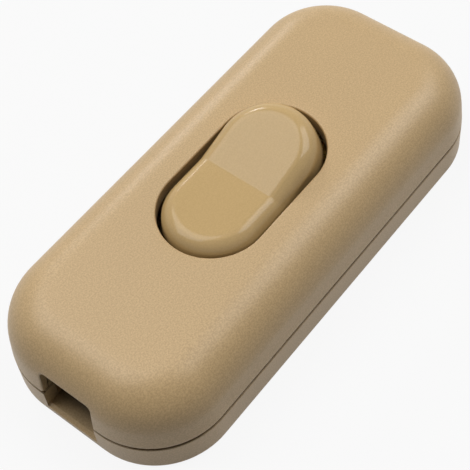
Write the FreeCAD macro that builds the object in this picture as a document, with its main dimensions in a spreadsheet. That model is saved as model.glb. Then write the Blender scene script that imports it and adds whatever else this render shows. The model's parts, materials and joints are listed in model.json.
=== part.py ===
import FreeCAD, Part
import math
import os
import re
import Sketcher
from FreeCAD import Placement, Rotation, Vector

# Inline rocker switch for a two-core cord: a flat slab housing in two shells, with a rocker that
# tips a see-saw contact, screw terminals for both conductors and a cord clamp at each end.
# Millimetres. X runs along the cord, Z is up, and the origin is the middle of the underside.
# The piece lies at rest with the -X end of the rocker pressed in.

SIZES = [
    ("length", 70.0, "housing, end to end"),
    ("width", 31.2, "housing, side to side"),
    ("height", 13.6, "housing, underside to flat top"),
    ("corner_radius", 10.5, "housing corners in plan"),
    ("side_draft", 5.0, "lean of the upper shell's sides, degrees"),
    ("top_edge_radius", 6.1, "roll from the sides to the flat top"),
    ("bottom_edge_radius", 0.7, "edge round the underside"),
    ("wall", 2.0, "side walls of both shells"),
    ("top_wall", 2.0, "top of the upper shell"),
    ("floor_wall", 1.8, "floor of the lower shell"),
    ("parting_height", 5.1, "lower edge of the upper shell"),
    ("parting_groove", 0.4, "shadow gap round the lower shell's upper edge, height"),
    ("groove_depth", 0.5, "that gap, inward from the side"),
    ("parting_edge", 0.15, "rounding of both shells' edges at the gap"),
    ("lip_thickness", 0.9, "lip of the lower shell"),
    ("lip_height", 1.0, "lip above the parting height"),
    ("lip_clearance", 0.1, "lip to the rebate that takes it"),
    ("entry_width", 8.2, "cord entry, side to side"),
    ("entry_top", 9.4, "cord entry, top edge above the underside"),
    ("entry_sill", 1.9, "cord entry, sill above the underside"),
    ("entry_corner", 0.8, "cord entry, top corners"),
    ("entry_ramp", 0.5, "chamfer along the outside of the sill"),
    ("aperture_length", 26.2, "opening for the rocker"),
    ("aperture_width", 14.6, "opening for the rocker"),
    ("aperture_edge", 0.25, "rounding of that opening"),
    ("pivot_height", 10.0, "rocker axis above the underside"),
    ("rocker_end_gap", 0.35, "rocker end to the opening, at the height of the axis"),
    ("rocker_side_gap", 0.55, "rocker side to the opening"),
    ("rocker_tilt", 8.0, "rocker either side of level, degrees"),
    ("rocker_slope", 8.0, "each half of the rocker's top, degrees"),
    ("rocker_valley", 4.2, "valley of the rocker above its axis"),
    ("rocker_valley_radius", 4.0, "rounding along the valley"),
    ("rocker_rim_radius", 1.6, "rounding round the rocker's top"),
    ("rocker_wall", 1.4, "rocker's sides"),
    ("rocker_top_wall", 1.8, "rocker's top at the valley"),
    ("rocker_skirt", 0.3, "lower edge of the rocker above its axis"),
    ("rocker_rib", 1.0, "web along the inside of the rocker"),
    ("hub_length", 7.6, "deeper middle of the rocker's sides"),
    ("stub_radius", 1.3, "rocker's pivot stubs"),
    ("stub_length", 2.3, "stub beyond the rocker's side"),
    ("rooting", 0.2, "ears and bosses run this far into the top wall"),
    ("ear_gap", 0.3, "ear behind the edge of the opening"),
    ("ear_thickness", 1.8, "ears that carry the stubs"),
    ("ear_reach", 2.9, "ear either side of the axis, and below it"),
    ("running_clearance", 0.05, "radial play of each turning or sliding fit"),
    ("snap_grip", 0.25, "how much narrower the mouth of the ear is than the stub, each side"),
    ("plunger_radius", 2.0, "sprung plunger under the rocker"),
    ("plunger_head", 0.6, "upper end of the plunger above the rocker axis"),
    ("plunger_bore_radius", 1.5, "well for the spring in the plunger"),
    ("plunger_tip_wall", 1.4, "plunger below the well"),
    ("plunger_gap", 0.2, "plunger tip over the level contact bridge"),
    ("guide_wall", 1.15, "tube in the rocker that guides the plunger"),
    ("guide_depth", 1.8, "guide tube below the rocker axis"),
    ("guide_top", 2.0, "upper end of the guide bore above the rocker axis"),
    ("spring_wire", 0.35, "plunger spring, wire diameter"),
    ("spring_radius", 1.2, "plunger spring, mean coil radius"),
    ("spring_turns", 4.0, "plunger spring, turns"),
    ("spring_end_gap", 0.05, "spring end to its seat"),
    ("bridge_pivot_height", 4.6, "contact bridge axis above the underside"),
    ("bridge_tilt", 5.0, "contact bridge either side of level, degrees"),
    ("bridge_rise", 0.1, "strip of the bridge above its axis"),
    ("bridge_thickness", 0.6, "strip of the bridge"),
    ("bridge_width", 3.2, "strip of the bridge"),
    ("bridge_arm", 6.7, "strip of the bridge, axis to end"),
    ("knuckle_radius", 0.6, "half-round knuckle under the bridge"),
    ("contact_arm", 5.4, "contact, distance from the bridge axis"),
    ("contact_radius", 1.2, "contact heads"),
    ("contact_depth", 0.7, "moving contact below the strip"),
    ("contact_clearance", 0.08, "contacts when closed"),
    ("rivet_radius", 0.6, "contact shanks"),
    ("rivet_head_height", 0.3, "clenched side of the contacts"),
    ("strip_thickness", 0.8, "brass strips"),
    ("strip_width", 3.2, "brass strips of the switched conductor"),
    ("strip_margin", 0.36, "strip beyond the fixed contact"),
    ("saddle_length", 2.4, "post that carries the contact bridge"),
    ("saddle_depth", 0.25, "top of that post below the bridge axis"),
    ("stop_clearance", 0.08, "bridge arm to its stop"),
    ("stop_length", 1.6, "stop under the idle arm"),
    ("block_gap", 1.4, "terminal blocks beyond the end of the opening"),
    ("block_length", 5.0, "terminal blocks, along the cord"),
    ("block_width", 6.0, "terminal blocks, across the cord"),
    ("block_height", 5.6, "terminal blocks above the floor"),
    ("block_edge", 0.4, "chamfer on the blocks"),
    ("wire_radius", 1.45, "wire bore in the blocks"),
    ("wire_height", 2.7, "wire bore above the floor"),
    ("through_margin", 1.2, "unswitched conductor's blocks to the side wall"),
    ("through_gap", 2.0, "those blocks to the boss of the case screw"),
    ("through_width", 2.4, "bar that joins its two blocks"),
    ("terminal_screw_radius", 1.25, "terminal screw shank"),
    ("terminal_head_radius", 2.2, "terminal screw head"),
    ("terminal_head_height", 1.4, "terminal screw head"),
    ("terminal_screw_length", 4.2, "terminal screw below its head"),
    ("terminal_screw_lift", 1.2, "terminal screw backed out of its block"),
    ("screw_slot", 0.6, "slots and cross recesses in screw heads"),
    ("screw_slot_depth", 0.8, "slots and cross recesses in screw heads"),
    ("screw_tip", 0.7, "cone at the end of the self-tapping screws"),
    ("tip_share", 0.3, "flat end of a screw, as a share of its shank radius"),
    ("bevel_share", 0.55, "straight side of a screw head, as a share of its height"),
    ("crown_share", 0.7, "flat top of a screw head, as a share of its radius"),
    ("recess_share", 0.55, "cross recess, as a share of the head radius"),
    ("clamp_inset", 6.5, "cord clamps from the end of the housing"),
    ("clamp_margin", 0.4, "clamp bosses beside the cord entry"),
    ("clamp_boss_radius", 2.4, "bosses under the clamps"),
    ("clamp_boss_top", 4.8, "bosses under the clamps, above the underside"),
    ("clamp_thickness", 2.0, "clamp bar"),
    ("clamp_width", 5.0, "clamp bar along the cord"),
    ("clamp_ridge", 0.8, "teeth under the clamp bar"),
    ("clamp_screw_radius", 1.0, "clamp screw shank"),
    ("clamp_head_radius", 2.0, "clamp screw head"),
    ("clamp_head_height", 1.3, "clamp screw head"),
    ("clamp_screw_length", 4.2, "clamp screw below its head"),
    ("clamp_hole_play", 0.3, "clamp hole round its screw"),
    ("saddle_rib_height", 0.8, "ribs under the cord, above the floor"),
    ("saddle_rib_thickness", 0.9, "ribs under the cord"),
    ("case_end_inset", 14.4, "case screws from the end of the housing"),
    ("case_side_inset", 5.6, "case screws from the side of the housing"),
    ("case_screw_radius", 1.3, "case screw shank"),
    ("case_head_radius", 2.6, "case screw head"),
    ("case_head_height", 1.7, "case screw head"),
    ("case_screw_length", 7.2, "case screw below its head"),
    ("case_hole_play", 0.3, "case screw in the lower shell"),
    ("counterbore_depth", 2.4, "seat of the case screw head"),
    ("counterbore_play", 0.3, "counterbore round the head"),
    ("counterbore_wall", 1.2, "boss round the counterbore"),
    ("case_boss_radius", 2.6, "boss in the upper shell"),
    ("case_boss_split", 4.2, "where the two case bosses meet"),
    ("cheek_thickness", 1.0, "cheeks beside the contact bridge"),
    ("cheek_clearance", 0.3, "cheeks to the contact bridge"),
    ("cheek_length", 2.6, "cheeks beside the contact bridge"),
    ("pocket_rib", 0.9, "ribs that locate the terminal blocks"),
    ("pocket_rib_height", 2.2, "those ribs above the floor"),
    ("pocket_clearance", 0.1, "ribs to the terminal blocks"),
]

doc = FreeCAD.newDocument("inline_cord_switch")
sizes = doc.addObject("Spreadsheet::Sheet", "Sizes")
for row, (alias, value, meaning) in enumerate(SIZES, start=1):
    sizes.set("A%d" % row, alias.replace("_", " "))
    sizes.set("B%d" % row, str(value))
    sizes.setAlias("B%d" % row, alias)
    sizes.set("C%d" % row, meaning)
doc.recompute()

# Heights and lengths that several pieces share, as formulas over the sheet
CEILING = "(height - top_wall)"
RIM = "(parting_height - parting_groove)"
ROCKER_RADIUS = "(aperture_length / 2 - rocker_end_gap)"
ROCKER_HALF = "(aperture_width / 2 - rocker_side_gap)"
EAR_INNER = "(aperture_width / 2 + ear_gap)"
TIP_BELOW = "(pivot_height - bridge_pivot_height - bridge_rise - bridge_thickness - plunger_gap)"
BRIDGE_TOP = "(bridge_rise + bridge_thickness)"
CONTACT_FACE = ("(bridge_pivot_height - (contact_arm + contact_radius) * sin(bridge_tilt)"
                " - (contact_depth - bridge_rise) * cos(bridge_tilt) - contact_clearance)")
STRIP_TOP = "(floor_wall + strip_thickness)"
BLOCK_INNER = "(aperture_length / 2 + block_gap)"
BLOCK_MIDDLE = "(%s + block_length / 2)" % BLOCK_INNER
BLOCK_TOP = "(floor_wall + block_height)"
SCREW_SEAT = "(%s + terminal_screw_lift)" % BLOCK_TOP
CLAMP_AWAY = "(length / 2 - clamp_inset)"
CLAMP_SPREAD = "(entry_width / 2 + clamp_boss_radius + clamp_margin)"
CLAMP_TOP = "(clamp_boss_top + clamp_thickness)"
CASE_ALONG = "(length / 2 - case_end_inset)"
CASE_ACROSS = "(width / 2 - case_side_inset)"
SEAT_RADIUS = "(case_head_radius + counterbore_play + counterbore_wall)"
THROUGH_INNER = "(%s - %s - through_gap - block_length)" % (CASE_ALONG, SEAT_RADIUS)
THROUGH_MIDDLE = "(%s + block_length / 2)" % THROUGH_INNER
THROUGH_ACROSS = "(width / 2 - wall - through_margin - block_width / 2)"
CASE_SCREWS = (("-" + CASE_ALONG, CASE_ACROSS), (CASE_ALONG, "-" + CASE_ACROSS))
CLAMP_SCREWS = tuple((x + CLAMP_AWAY, y + CLAMP_SPREAD) for x in ("-", "") for y in ("-", ""))
TERMINAL_SCREWS = (("-" + BLOCK_MIDDLE, "0"), (BLOCK_MIDDLE, "0"),
                   ("-" + THROUGH_MIDDLE, "-" + THROUGH_ACROSS), (THROUGH_MIDDLE, "-" + THROUGH_ACROSS))
HALF_TURN = "180"  # case screws point up, degrees
TIGHT = 0.001  # lengths under this count as nothing when an edge is looked for


def formula(text):
    """A formula over the sheet's aliases, written so that any object can hold it."""
    return re.sub(r"\b[a-z_]{4,}\b(?!\()", lambda word: "Sizes." + word.group(0), text)


def size(text):
    """The present value of a formula, in millimetres or degrees."""
    return float(sizes.evalExpression(formula(text)))


def bind(thing, target, text):
    """Tie one property of an object to the sheet."""
    thing.setExpression(target, formula(text))


def new_body(name):
    """A PartDesign body with its own label."""
    body = doc.addObject("PartDesign::Body", name)
    body.Label = name
    return body


def new_sketch(body, name, plane, offset="0"):
    """A sketch on one of the body's own origin planes, lifted along the plane's normal."""
    sketch = body.newObject("Sketcher::SketchObject", body.Name + "_" + name)
    support = [feature for feature in body.Origin.OriginFeatures if feature.Role == plane][0]
    sketch.AttachmentSupport = (support, [""])
    sketch.MapMode = "FlatFace"
    bind(sketch, "AttachmentOffset.Base.z", offset)
    return sketch


def place_point(sketch, element, point, x_text, y_text):
    """Hold one point of a sketch at two formulas."""
    for kind, text in (("DistanceX", x_text), ("DistanceY", y_text)):
        index = sketch.addConstraint(Sketcher.Constraint(kind, -1, 1, element, point, size(text)))
        bind(sketch, "Constraints[%d]" % index, text)


def add_lines(sketch, ends):
    """Straight lines between pairs of corners given as formulas, with both ends held."""
    lines = []
    for start, end in ends:
        segment = Part.LineSegment(*[Vector(size(x), size(y), 0) for x, y in (start, end)])
        lines.append(sketch.addGeometry(segment, False))
        place_point(sketch, lines[-1], 1, *start)
        place_point(sketch, lines[-1], 2, *end)
    return lines


def add_polygon(sketch, corners):
    """A closed outline of straight lines through corners given as pairs of formulas."""
    points = [Vector(size(x), size(y), 0) for x, y in corners]
    first = sketch.GeometryCount
    count = len(corners)
    for number in range(count):
        sketch.addGeometry(Part.LineSegment(points[number], points[(number + 1) % count]), False)
    for number, (x_text, y_text) in enumerate(corners):
        following = first + (number + 1) % count
        sketch.addConstraint(Sketcher.Constraint("Coincident", first + number, 2, following, 1))
        place_point(sketch, first + number, 1, x_text, y_text)


def add_rectangle(sketch, x_low, x_high, y_low, y_high):
    """A rectangle between four formulas."""
    add_polygon(sketch, [(x_low, y_low), (x_high, y_low), (x_high, y_high), (x_low, y_high)])


def add_circle(sketch, x_text, y_text, radius_text):
    """A circle with its centre and radius given as formulas."""
    centre = Vector(size(x_text), size(y_text), 0)
    circle = sketch.addGeometry(Part.Circle(centre, Vector(0, 0, 1), size(radius_text)), False)
    place_point(sketch, circle, 3, x_text, y_text)
    index = sketch.addConstraint(Sketcher.Constraint("Radius", circle, size(radius_text)))
    bind(sketch, "Constraints[%d]" % index, radius_text)


def add_arc_between(sketch, before, after, centre, start, sweep):
    """A quarter or half round from the end of one line to the start of the next, tangent to both."""
    radius = start.distanceToPoint(centre)
    circle = Part.Circle(centre, Vector(0, 0, 1), radius)
    begin = circle.parameter(start)
    arc = sketch.addGeometry(Part.ArcOfCircle(circle, begin, begin + sweep), False)
    sketch.addConstraint(Sketcher.Constraint("Tangent", before, 2, arc, 1))
    sketch.addConstraint(Sketcher.Constraint("Coincident", arc, 2, after, 1))


def add_stadium(sketch, half_length, half_width):
    """Two parallel lines joined by half rounds, centred on the origin."""
    straight = "(%s - %s)" % (half_length, half_width)
    reach, radius = size(straight), size(half_width)
    lower, upper = add_lines(sketch, [
        (("-" + straight, "-" + half_width), (straight, "-" + half_width)),
        ((straight, half_width), ("-" + straight, half_width)),
    ])
    add_arc_between(sketch, lower, upper, Vector(reach, 0, 0), Vector(reach, -radius, 0), math.pi)
    add_arc_between(sketch, upper, lower, Vector(-reach, 0, 0), Vector(-reach, radius, 0), math.pi)


def add_rounded_rectangle(sketch, half_length, half_width, radius):
    """Four lines joined by quarter rounds, centred on the origin."""
    along = "(%s - %s)" % (half_length, radius)
    across = "(%s - %s)" % (half_width, radius)
    ends = [
        (("-" + along, "-" + half_width), (along, "-" + half_width)),
        ((half_length, "-" + across), (half_length, across)),
        ((along, half_width), ("-" + along, half_width)),
        (("-" + half_length, across), ("-" + half_length, "-" + across)),
    ]
    lines = add_lines(sketch, ends)
    for number, (sign_x, sign_y) in enumerate(((1, -1), (1, 1), (-1, 1), (-1, -1))):
        centre = Vector(sign_x * size(along), sign_y * size(across), 0)
        start = Vector(size(ends[number][1][0]), size(ends[number][1][1]), 0)
        add_arc_between(sketch, lines[number], lines[(number + 1) % 4], centre, start, math.pi / 2)


def extrude(body, name, kind, sketch, length, side="One side", reverse=False, taper=None):
    """A pad or a pocket of one sketch by a length given as a formula."""
    feature = body.newObject("PartDesign::" + kind, body.Name + "_" + name)
    feature.Profile = sketch
    feature.SideType = side
    feature.Reversed = reverse
    feature.Type = "Length"
    bind(feature, "Length", length)
    if taper:
        bind(feature, "TaperAngle", taper)
    sketch.Visibility = False
    doc.recompute()
    return feature


def pad(body, name, sketch, length, **options):
    """Material from a sketch, along its normal unless it is reversed."""
    return extrude(body, name, "Pad", sketch, length, **options)


def pocket(body, name, sketch, length, **options):
    """A cut from a sketch, against its normal unless it is reversed."""
    return extrude(body, name, "Pocket", sketch, length, **options)


def revolve(body, name, kind, sketch, axis):
    """A full turn of one sketch about one of its own axes, as a Revolution or a Groove."""
    feature = body.newObject("PartDesign::" + kind, body.Name + "_" + name)
    feature.Profile = sketch
    feature.ReferenceAxis = (sketch, [axis])
    feature.Angle = 360
    doc.recompute()
    return feature


def mirror(body, name, features, plane):
    """The same features again on the other side of one of the body's origin planes."""
    mirrored = body.newObject("PartDesign::Mirrored", body.Name + "_" + name)
    mirrored.Originals = features
    support = [feature for feature in body.Origin.OriginFeatures if feature.Role == plane][0]
    mirrored.MirrorPlane = (support, [""])
    body.Tip = mirrored
    doc.recompute()
    return mirrored


def dress(body, name, kind, target, text, wanted):
    """A fillet or chamfer on the edges of the body's present shape for which wanted is true."""
    base = body.Tip
    edges = ["Edge%d" % (number + 1) for number, edge in enumerate(base.Shape.Edges) if wanted(edge)]
    feature = body.newObject("PartDesign::" + kind, body.Name + "_" + name)
    feature.Base = (base, edges)
    bind(feature, target, text)
    doc.recompute()
    return feature


def fillet(body, name, radius, wanted):
    """Rounded edges."""
    return dress(body, name, "Fillet", "Radius", radius, wanted)


def chamfer(body, name, length, wanted):
    """Bevelled edges."""
    return dress(body, name, "Chamfer", "Size", length, wanted)


def level_at(edge, height):
    """Whether an edge lies wholly at one height."""
    box = edge.BoundBox
    return abs(box.ZMin - height) < TIGHT and abs(box.ZMax - height) < TIGHT


def position(body, x_text, y_text, z_text, axis=(0, 1, 0), angle="0"):
    """Stand a body at three formulas, turned about an axis by a formula in degrees."""
    spot = Vector(size(x_text), size(y_text), size(z_text))
    body.Placement = Placement(spot, Rotation(Vector(*axis), size(angle)))
    for target, text in (("x", x_text), ("y", y_text), ("z", z_text)):
        bind(body, "Placement.Base." + target, text)
    if angle != "0":
        bind(body, "Placement.Rotation.Angle", angle)


def make_upper_shell():
    """The thick domed shell: drafted sides, a deep roll to the top, and what hangs from its ceiling."""
    body = new_body("upper_shell")
    outline = new_sketch(body, "outline", "XY_Plane", "parting_height")
    add_rounded_rectangle(outline, "(length / 2)", "(width / 2)", "corner_radius")
    pad(body, "block", outline, "height - parting_height", taper="-side_draft")
    fillet(body, "roll", "top_edge_radius", lambda edge: level_at(edge, size("height")))
    fillet(body, "lower_edge", "parting_edge", lambda edge: level_at(edge, size("parting_height")))

    inside = new_sketch(body, "inside", "XY_Plane", "parting_height")
    add_rounded_rectangle(inside, "(length / 2 - wall)", "(width / 2 - wall)", "(corner_radius - wall)")
    pocket(body, "hollow", inside, CEILING + " - parting_height", reverse=True, taper="-side_draft")
    fillet(body, "inner_roll", "top_edge_radius - top_wall", lambda edge: level_at(edge, size(CEILING)))

    rebate = new_sketch(body, "rebate", "XY_Plane", "parting_height")
    inset = "(wall - lip_thickness - lip_clearance)"
    add_rounded_rectangle(rebate, "(length / 2 - %s)" % inset, "(width / 2 - %s)" % inset,
                          "(corner_radius - %s)" % inset)
    pocket(body, "lip_rebate", rebate, "lip_height", reverse=True)

    opening = new_sketch(body, "opening", "XY_Plane", "height")
    add_stadium(opening, "(aperture_length / 2)", "(aperture_width / 2)")
    pocket(body, "aperture", opening, "top_wall")
    fillet(body, "aperture_edge", "aperture_edge",
           lambda edge: level_at(edge, size("height")) and edge.BoundBox.XMax < size("aperture_length"))

    ear = new_sketch(body, "ear", "XZ_Plane", EAR_INNER)
    add_rectangle(ear, "-ear_reach", "ear_reach", "pivot_height - ear_reach", CEILING + " + rooting")
    ear_pad = pad(body, "ear", ear, "ear_thickness")
    bearing = new_sketch(body, "bearing", "XZ_Plane", EAR_INNER)
    add_circle(bearing, "0", "pivot_height", "stub_radius + running_clearance")
    bearing_cut = pocket(body, "bearing", bearing, "ear_thickness", reverse=True)
    mouth = new_sketch(body, "mouth", "XZ_Plane", EAR_INNER)
    half_mouth = "(stub_radius - snap_grip)"
    add_rectangle(mouth, "-" + half_mouth, half_mouth, "pivot_height - ear_reach", "pivot_height")
    mouth_cut = pocket(body, "mouth", mouth, "ear_thickness", reverse=True)
    mirror(body, "ears", [ear_pad, bearing_cut, mouth_cut], "XZ_Plane")

    boss = new_sketch(body, "boss", "XY_Plane", "case_boss_split")
    for x_text, y_text in CASE_SCREWS:
        add_circle(boss, x_text, y_text, "case_boss_radius")
    pad(body, "case_bosses", boss, CEILING + " + rooting - case_boss_split")
    pilot = new_sketch(body, "pilot", "XY_Plane", "case_boss_split")
    for x_text, y_text in CASE_SCREWS:
        add_circle(pilot, x_text, y_text, "case_screw_radius + running_clearance")
    depth = "counterbore_depth + case_screw_length - case_boss_split + screw_tip / 2"
    pocket(body, "pilot_holes", pilot, depth, reverse=True)

    cut_cord_entries(body, "0")
    return body


def add_entry_outline(sketch, bottom):
    """The cord entry seen from its end: square below, with small rounded corners at the top."""
    half = "(entry_width / 2)"
    inner = "(entry_width / 2 - entry_corner)"
    shoulder = "(entry_top - entry_corner)"
    ends = [
        (("-" + half, shoulder), ("-" + half, bottom)),
        (("-" + half, bottom), (half, bottom)),
        ((half, bottom), (half, shoulder)),
        ((inner, "entry_top"), ("-" + inner, "entry_top")),
    ]
    lines = add_lines(sketch, ends)
    right = Vector(size(inner), size(shoulder), 0)
    left = Vector(-size(inner), size(shoulder), 0)
    add_arc_between(sketch, lines[2], lines[3], right, Vector(size(half), size(shoulder), 0), math.pi / 2)
    add_arc_between(sketch, lines[3], lines[0], left, Vector(-size(inner), size("entry_top"), 0), math.pi / 2)


def cut_cord_entries(body, bottom):
    """The same opening through the wall at both ends, down to a height given as a formula."""
    for end, start in (("far", "length / 2 - wall * 2"), ("near", "-(length / 2 - wall * 2)")):
        sketch = new_sketch(body, end + "_entry", "YZ_Plane", start)
        add_entry_outline(sketch, bottom)
        pocket(body, end + "_cord_entry", sketch, "wall * 4", reverse=end == "far")


def make_lower_shell():
    """The tray: a lip round its rim, bosses for the screws, and ribs that hold the terminals."""
    body = new_body("lower_shell")
    outline = new_sketch(body, "outline", "XY_Plane")
    add_rounded_rectangle(outline, "(length / 2)", "(width / 2)", "corner_radius")
    pad(body, "block", outline, RIM)
    fillet(body, "bottom_edge", "bottom_edge_radius", lambda edge: level_at(edge, 0))
    fillet(body, "rim_edge", "parting_edge", lambda edge: level_at(edge, size(RIM)))
    land = new_sketch(body, "land", "XY_Plane", RIM)
    add_rounded_rectangle(land, "(length / 2 - groove_depth)", "(width / 2 - groove_depth)",
                          "(corner_radius - groove_depth)")
    pad(body, "land", land, "parting_groove")
    inside = new_sketch(body, "inside", "XY_Plane", "floor_wall")
    add_rounded_rectangle(inside, "(length / 2 - wall)", "(width / 2 - wall)", "(corner_radius - wall)")
    pocket(body, "hollow", inside, "parting_height - floor_wall", reverse=True)

    lip = new_sketch(body, "lip", "XY_Plane", "parting_height")
    inset = "(wall - lip_thickness)"
    add_rounded_rectangle(lip, "(length / 2 - %s)" % inset, "(width / 2 - %s)" % inset,
                          "(corner_radius - %s)" % inset)
    add_rounded_rectangle(lip, "(length / 2 - wall)", "(width / 2 - wall)", "(corner_radius - wall)")
    pad(body, "lip", lip, "lip_height")

    seat = new_sketch(body, "case_boss", "XY_Plane", "floor_wall / 2")
    for x_text, y_text in CASE_SCREWS:
        add_circle(seat, x_text, y_text, SEAT_RADIUS)
    pad(body, "case_bosses", seat, "case_boss_split - floor_wall / 2")
    post = new_sketch(body, "clamp_boss", "XY_Plane", "floor_wall / 2")
    for x_text, y_text in CLAMP_SCREWS:
        add_circle(post, x_text, y_text, "clamp_boss_radius")
    pad(body, "clamp_bosses", post, "clamp_boss_top - floor_wall / 2")

    rib_half = "(saddle_rib_thickness / 2)"
    for side, along in (("near", "-" + CLAMP_AWAY), ("far", CLAMP_AWAY)):
        rib = new_sketch(body, side + "_saddle", "XY_Plane", "floor_wall / 2")
        add_rectangle(rib, "%s - %s" % (along, rib_half), "%s + %s" % (along, rib_half),
                      "-" + CLAMP_SPREAD, CLAMP_SPREAD)
        pad(body, side + "_cord_saddle", rib, "saddle_rib_height + floor_wall / 2")

    cheek = new_sketch(body, "cheek", "XY_Plane", "floor_wall / 2")
    cheek_inner = "(bridge_width / 2 + cheek_clearance)"
    add_rectangle(cheek, "-cheek_length / 2", "cheek_length / 2",
                  cheek_inner, cheek_inner + " + cheek_thickness")
    cheek_pad = pad(body, "cheek", cheek, "bridge_pivot_height + %s - floor_wall / 2" % BRIDGE_TOP)
    mirror(body, "cheeks", [cheek_pad], "XZ_Plane")

    locate_blocks(body, "switched", BLOCK_INNER, "0", "block_width / 2 + pocket_clearance + pocket_rib")
    locate_blocks(body, "through", THROUGH_INNER, "-" + THROUGH_ACROSS,
                  "width / 2 - wall / 2 - " + THROUGH_ACROSS)

    bore = new_sketch(body, "case_hole", "XY_Plane")
    for x_text, y_text in CASE_SCREWS:
        add_circle(bore, x_text, y_text, "case_screw_radius + case_hole_play")
    pocket(body, "case_holes", bore, "case_boss_split", reverse=True)
    recess = new_sketch(body, "counterbore", "XY_Plane")
    for x_text, y_text in CASE_SCREWS:
        add_circle(recess, x_text, y_text, "case_head_radius + counterbore_play")
    pocket(body, "counterbores", recess, "counterbore_depth", reverse=True)
    pilot = new_sketch(body, "clamp_pilot", "XY_Plane", "clamp_boss_top")
    for x_text, y_text in CLAMP_SCREWS:
        add_circle(pilot, x_text, y_text, "clamp_screw_radius + running_clearance")
    pocket(body, "clamp_pilot_holes", pilot, "clamp_screw_length - clamp_thickness + screw_tip / 2")

    cut_cord_entries(body, "entry_sill")
    chamfer(body, "entry_ramps", "entry_ramp",
            lambda edge: level_at(edge, size("entry_sill")) and edge.BoundBox.XLength < TIGHT
            and abs(edge.BoundBox.XMin) > size("length / 2 - wall / 2"))
    return body


def locate_blocks(body, name, inner, middle, outer_reach):
    """Low ribs along both sides of the pair of terminal blocks that share one line across."""
    near_face = "(block_width / 2 + pocket_clearance)"
    for end, sign in (("near", "-"), ("far", "")):
        rib = new_sketch(body, "%s_%s_rib" % (name, end), "XY_Plane", "floor_wall / 2")
        start, stop = "%s%s" % (sign, inner), "%s(%s + block_length)" % (sign, inner)
        low, high = (stop, start) if sign else (start, stop)
        add_rectangle(rib, low, high, "%s + %s" % (middle, near_face),
                      "%s + %s + pocket_rib" % (middle, near_face))
        add_rectangle(rib, low, high, "%s - (%s)" % (middle, outer_reach), "%s - %s" % (middle, near_face))
        pad(body, "%s_%s_ribs" % (name, end), rib, "pocket_rib_height + floor_wall / 2")


def make_rocker():
    """A wheel segment: its plan is swept round the axis, so that its gap stays the same as it tips."""
    body = new_body("rocker")
    plan = new_sketch(body, "plan", "XY_Plane")
    straight = "(%s - %s)" % (ROCKER_RADIUS, ROCKER_HALF)
    path = [(straight, ROCKER_HALF), ("0", ROCKER_HALF),
            ("0", "-" + ROCKER_HALF), (straight, "-" + ROCKER_HALF)]
    lines = add_lines(plan, list(zip(path, path[1:])))
    centre = Vector(size(straight), 0, 0)
    add_arc_between(plan, lines[2], lines[0], centre, Vector(size(straight), -size(ROCKER_HALF), 0), math.pi)
    revolve(body, "wheel", "Revolution", plan, "V_Axis")

    far = "(%s + rocker_wall)" % ROCKER_RADIUS
    crown = new_sketch(body, "crown", "XZ_Plane")
    edge_height = "rocker_valley + %s * tan(rocker_slope)" % far
    add_polygon(crown, [("-" + far, edge_height), ("0", "rocker_valley"), (far, edge_height),
                        (far, far), ("-" + far, far)])
    pocket(body, "valley", crown, "aperture_width", side="Symmetric")
    below = new_sketch(body, "below", "XZ_Plane")
    add_polygon(below, [("-" + far, "rocker_skirt"), ("-hub_length / 2", "rocker_skirt"),
                        ("-hub_length / 2 + rocker_wall", "-guide_depth"),
                        ("hub_length / 2 - rocker_wall", "-guide_depth"),
                        ("hub_length / 2", "rocker_skirt"), (far, "rocker_skirt"),
                        (far, "-" + far), ("-" + far, "-" + far)])
    pocket(body, "underside", below, "aperture_width", side="Symmetric")
    fillet(body, "valley_round", "rocker_valley_radius",
           lambda edge: level_at(edge, size("rocker_valley")) and abs(edge.BoundBox.XMax) < TIGHT)
    fillet(body, "rim", "rocker_rim_radius",
           lambda edge: edge.BoundBox.ZMin > size("rocker_valley / 2") and edge.BoundBox.XLength > TIGHT)

    ceiling = "(rocker_valley - rocker_top_wall)"
    inside = new_sketch(body, "inside", "XY_Plane", "-guide_depth")
    add_stadium(inside, "(%s - rocker_wall)" % ROCKER_RADIUS, "(%s - rocker_wall)" % ROCKER_HALF)
    pocket(body, "hollow", inside, "guide_depth + " + ceiling, reverse=True)
    tube = new_sketch(body, "tube", "XY_Plane", "-guide_depth")
    add_circle(tube, "0", "0", "plunger_radius + running_clearance + guide_wall")
    pad(body, "guide_tube", tube, "guide_depth + rocker_valley - rocker_top_wall / 2")
    web = new_sketch(body, "web", "XY_Plane", "rocker_skirt")
    reach = "(%s - rocker_wall / 2)" % ROCKER_RADIUS
    add_rectangle(web, "-" + reach, reach, "-rocker_rib / 2", "rocker_rib / 2")
    pad(body, "long_web", web, "rocker_valley - rocker_top_wall / 2 - rocker_skirt")
    cross = new_sketch(body, "cross", "XY_Plane", "-stub_radius")
    side = "(%s - rocker_wall / 2)" % ROCKER_HALF
    add_rectangle(cross, "-rocker_rib", "rocker_rib", "-" + side, side)
    pad(body, "cross_web", cross, "stub_radius + rocker_valley - rocker_top_wall / 2")
    well = new_sketch(body, "well", "XY_Plane", "-guide_depth")
    add_circle(well, "0", "0", "plunger_radius + running_clearance")
    pocket(body, "guide_bore", well, "guide_depth + guide_top", reverse=True)
    stub = new_sketch(body, "stub", "XZ_Plane", side)
    add_circle(stub, "0", "0", "stub_radius")
    stub_pad = pad(body, "stub", stub, "stub_length + rocker_wall / 2")
    mirror(body, "stubs", [stub_pad], "XZ_Plane")
    position(body, "0", "0", "pivot_height", axis=(0, -1, 0), angle="rocker_tilt")


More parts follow.
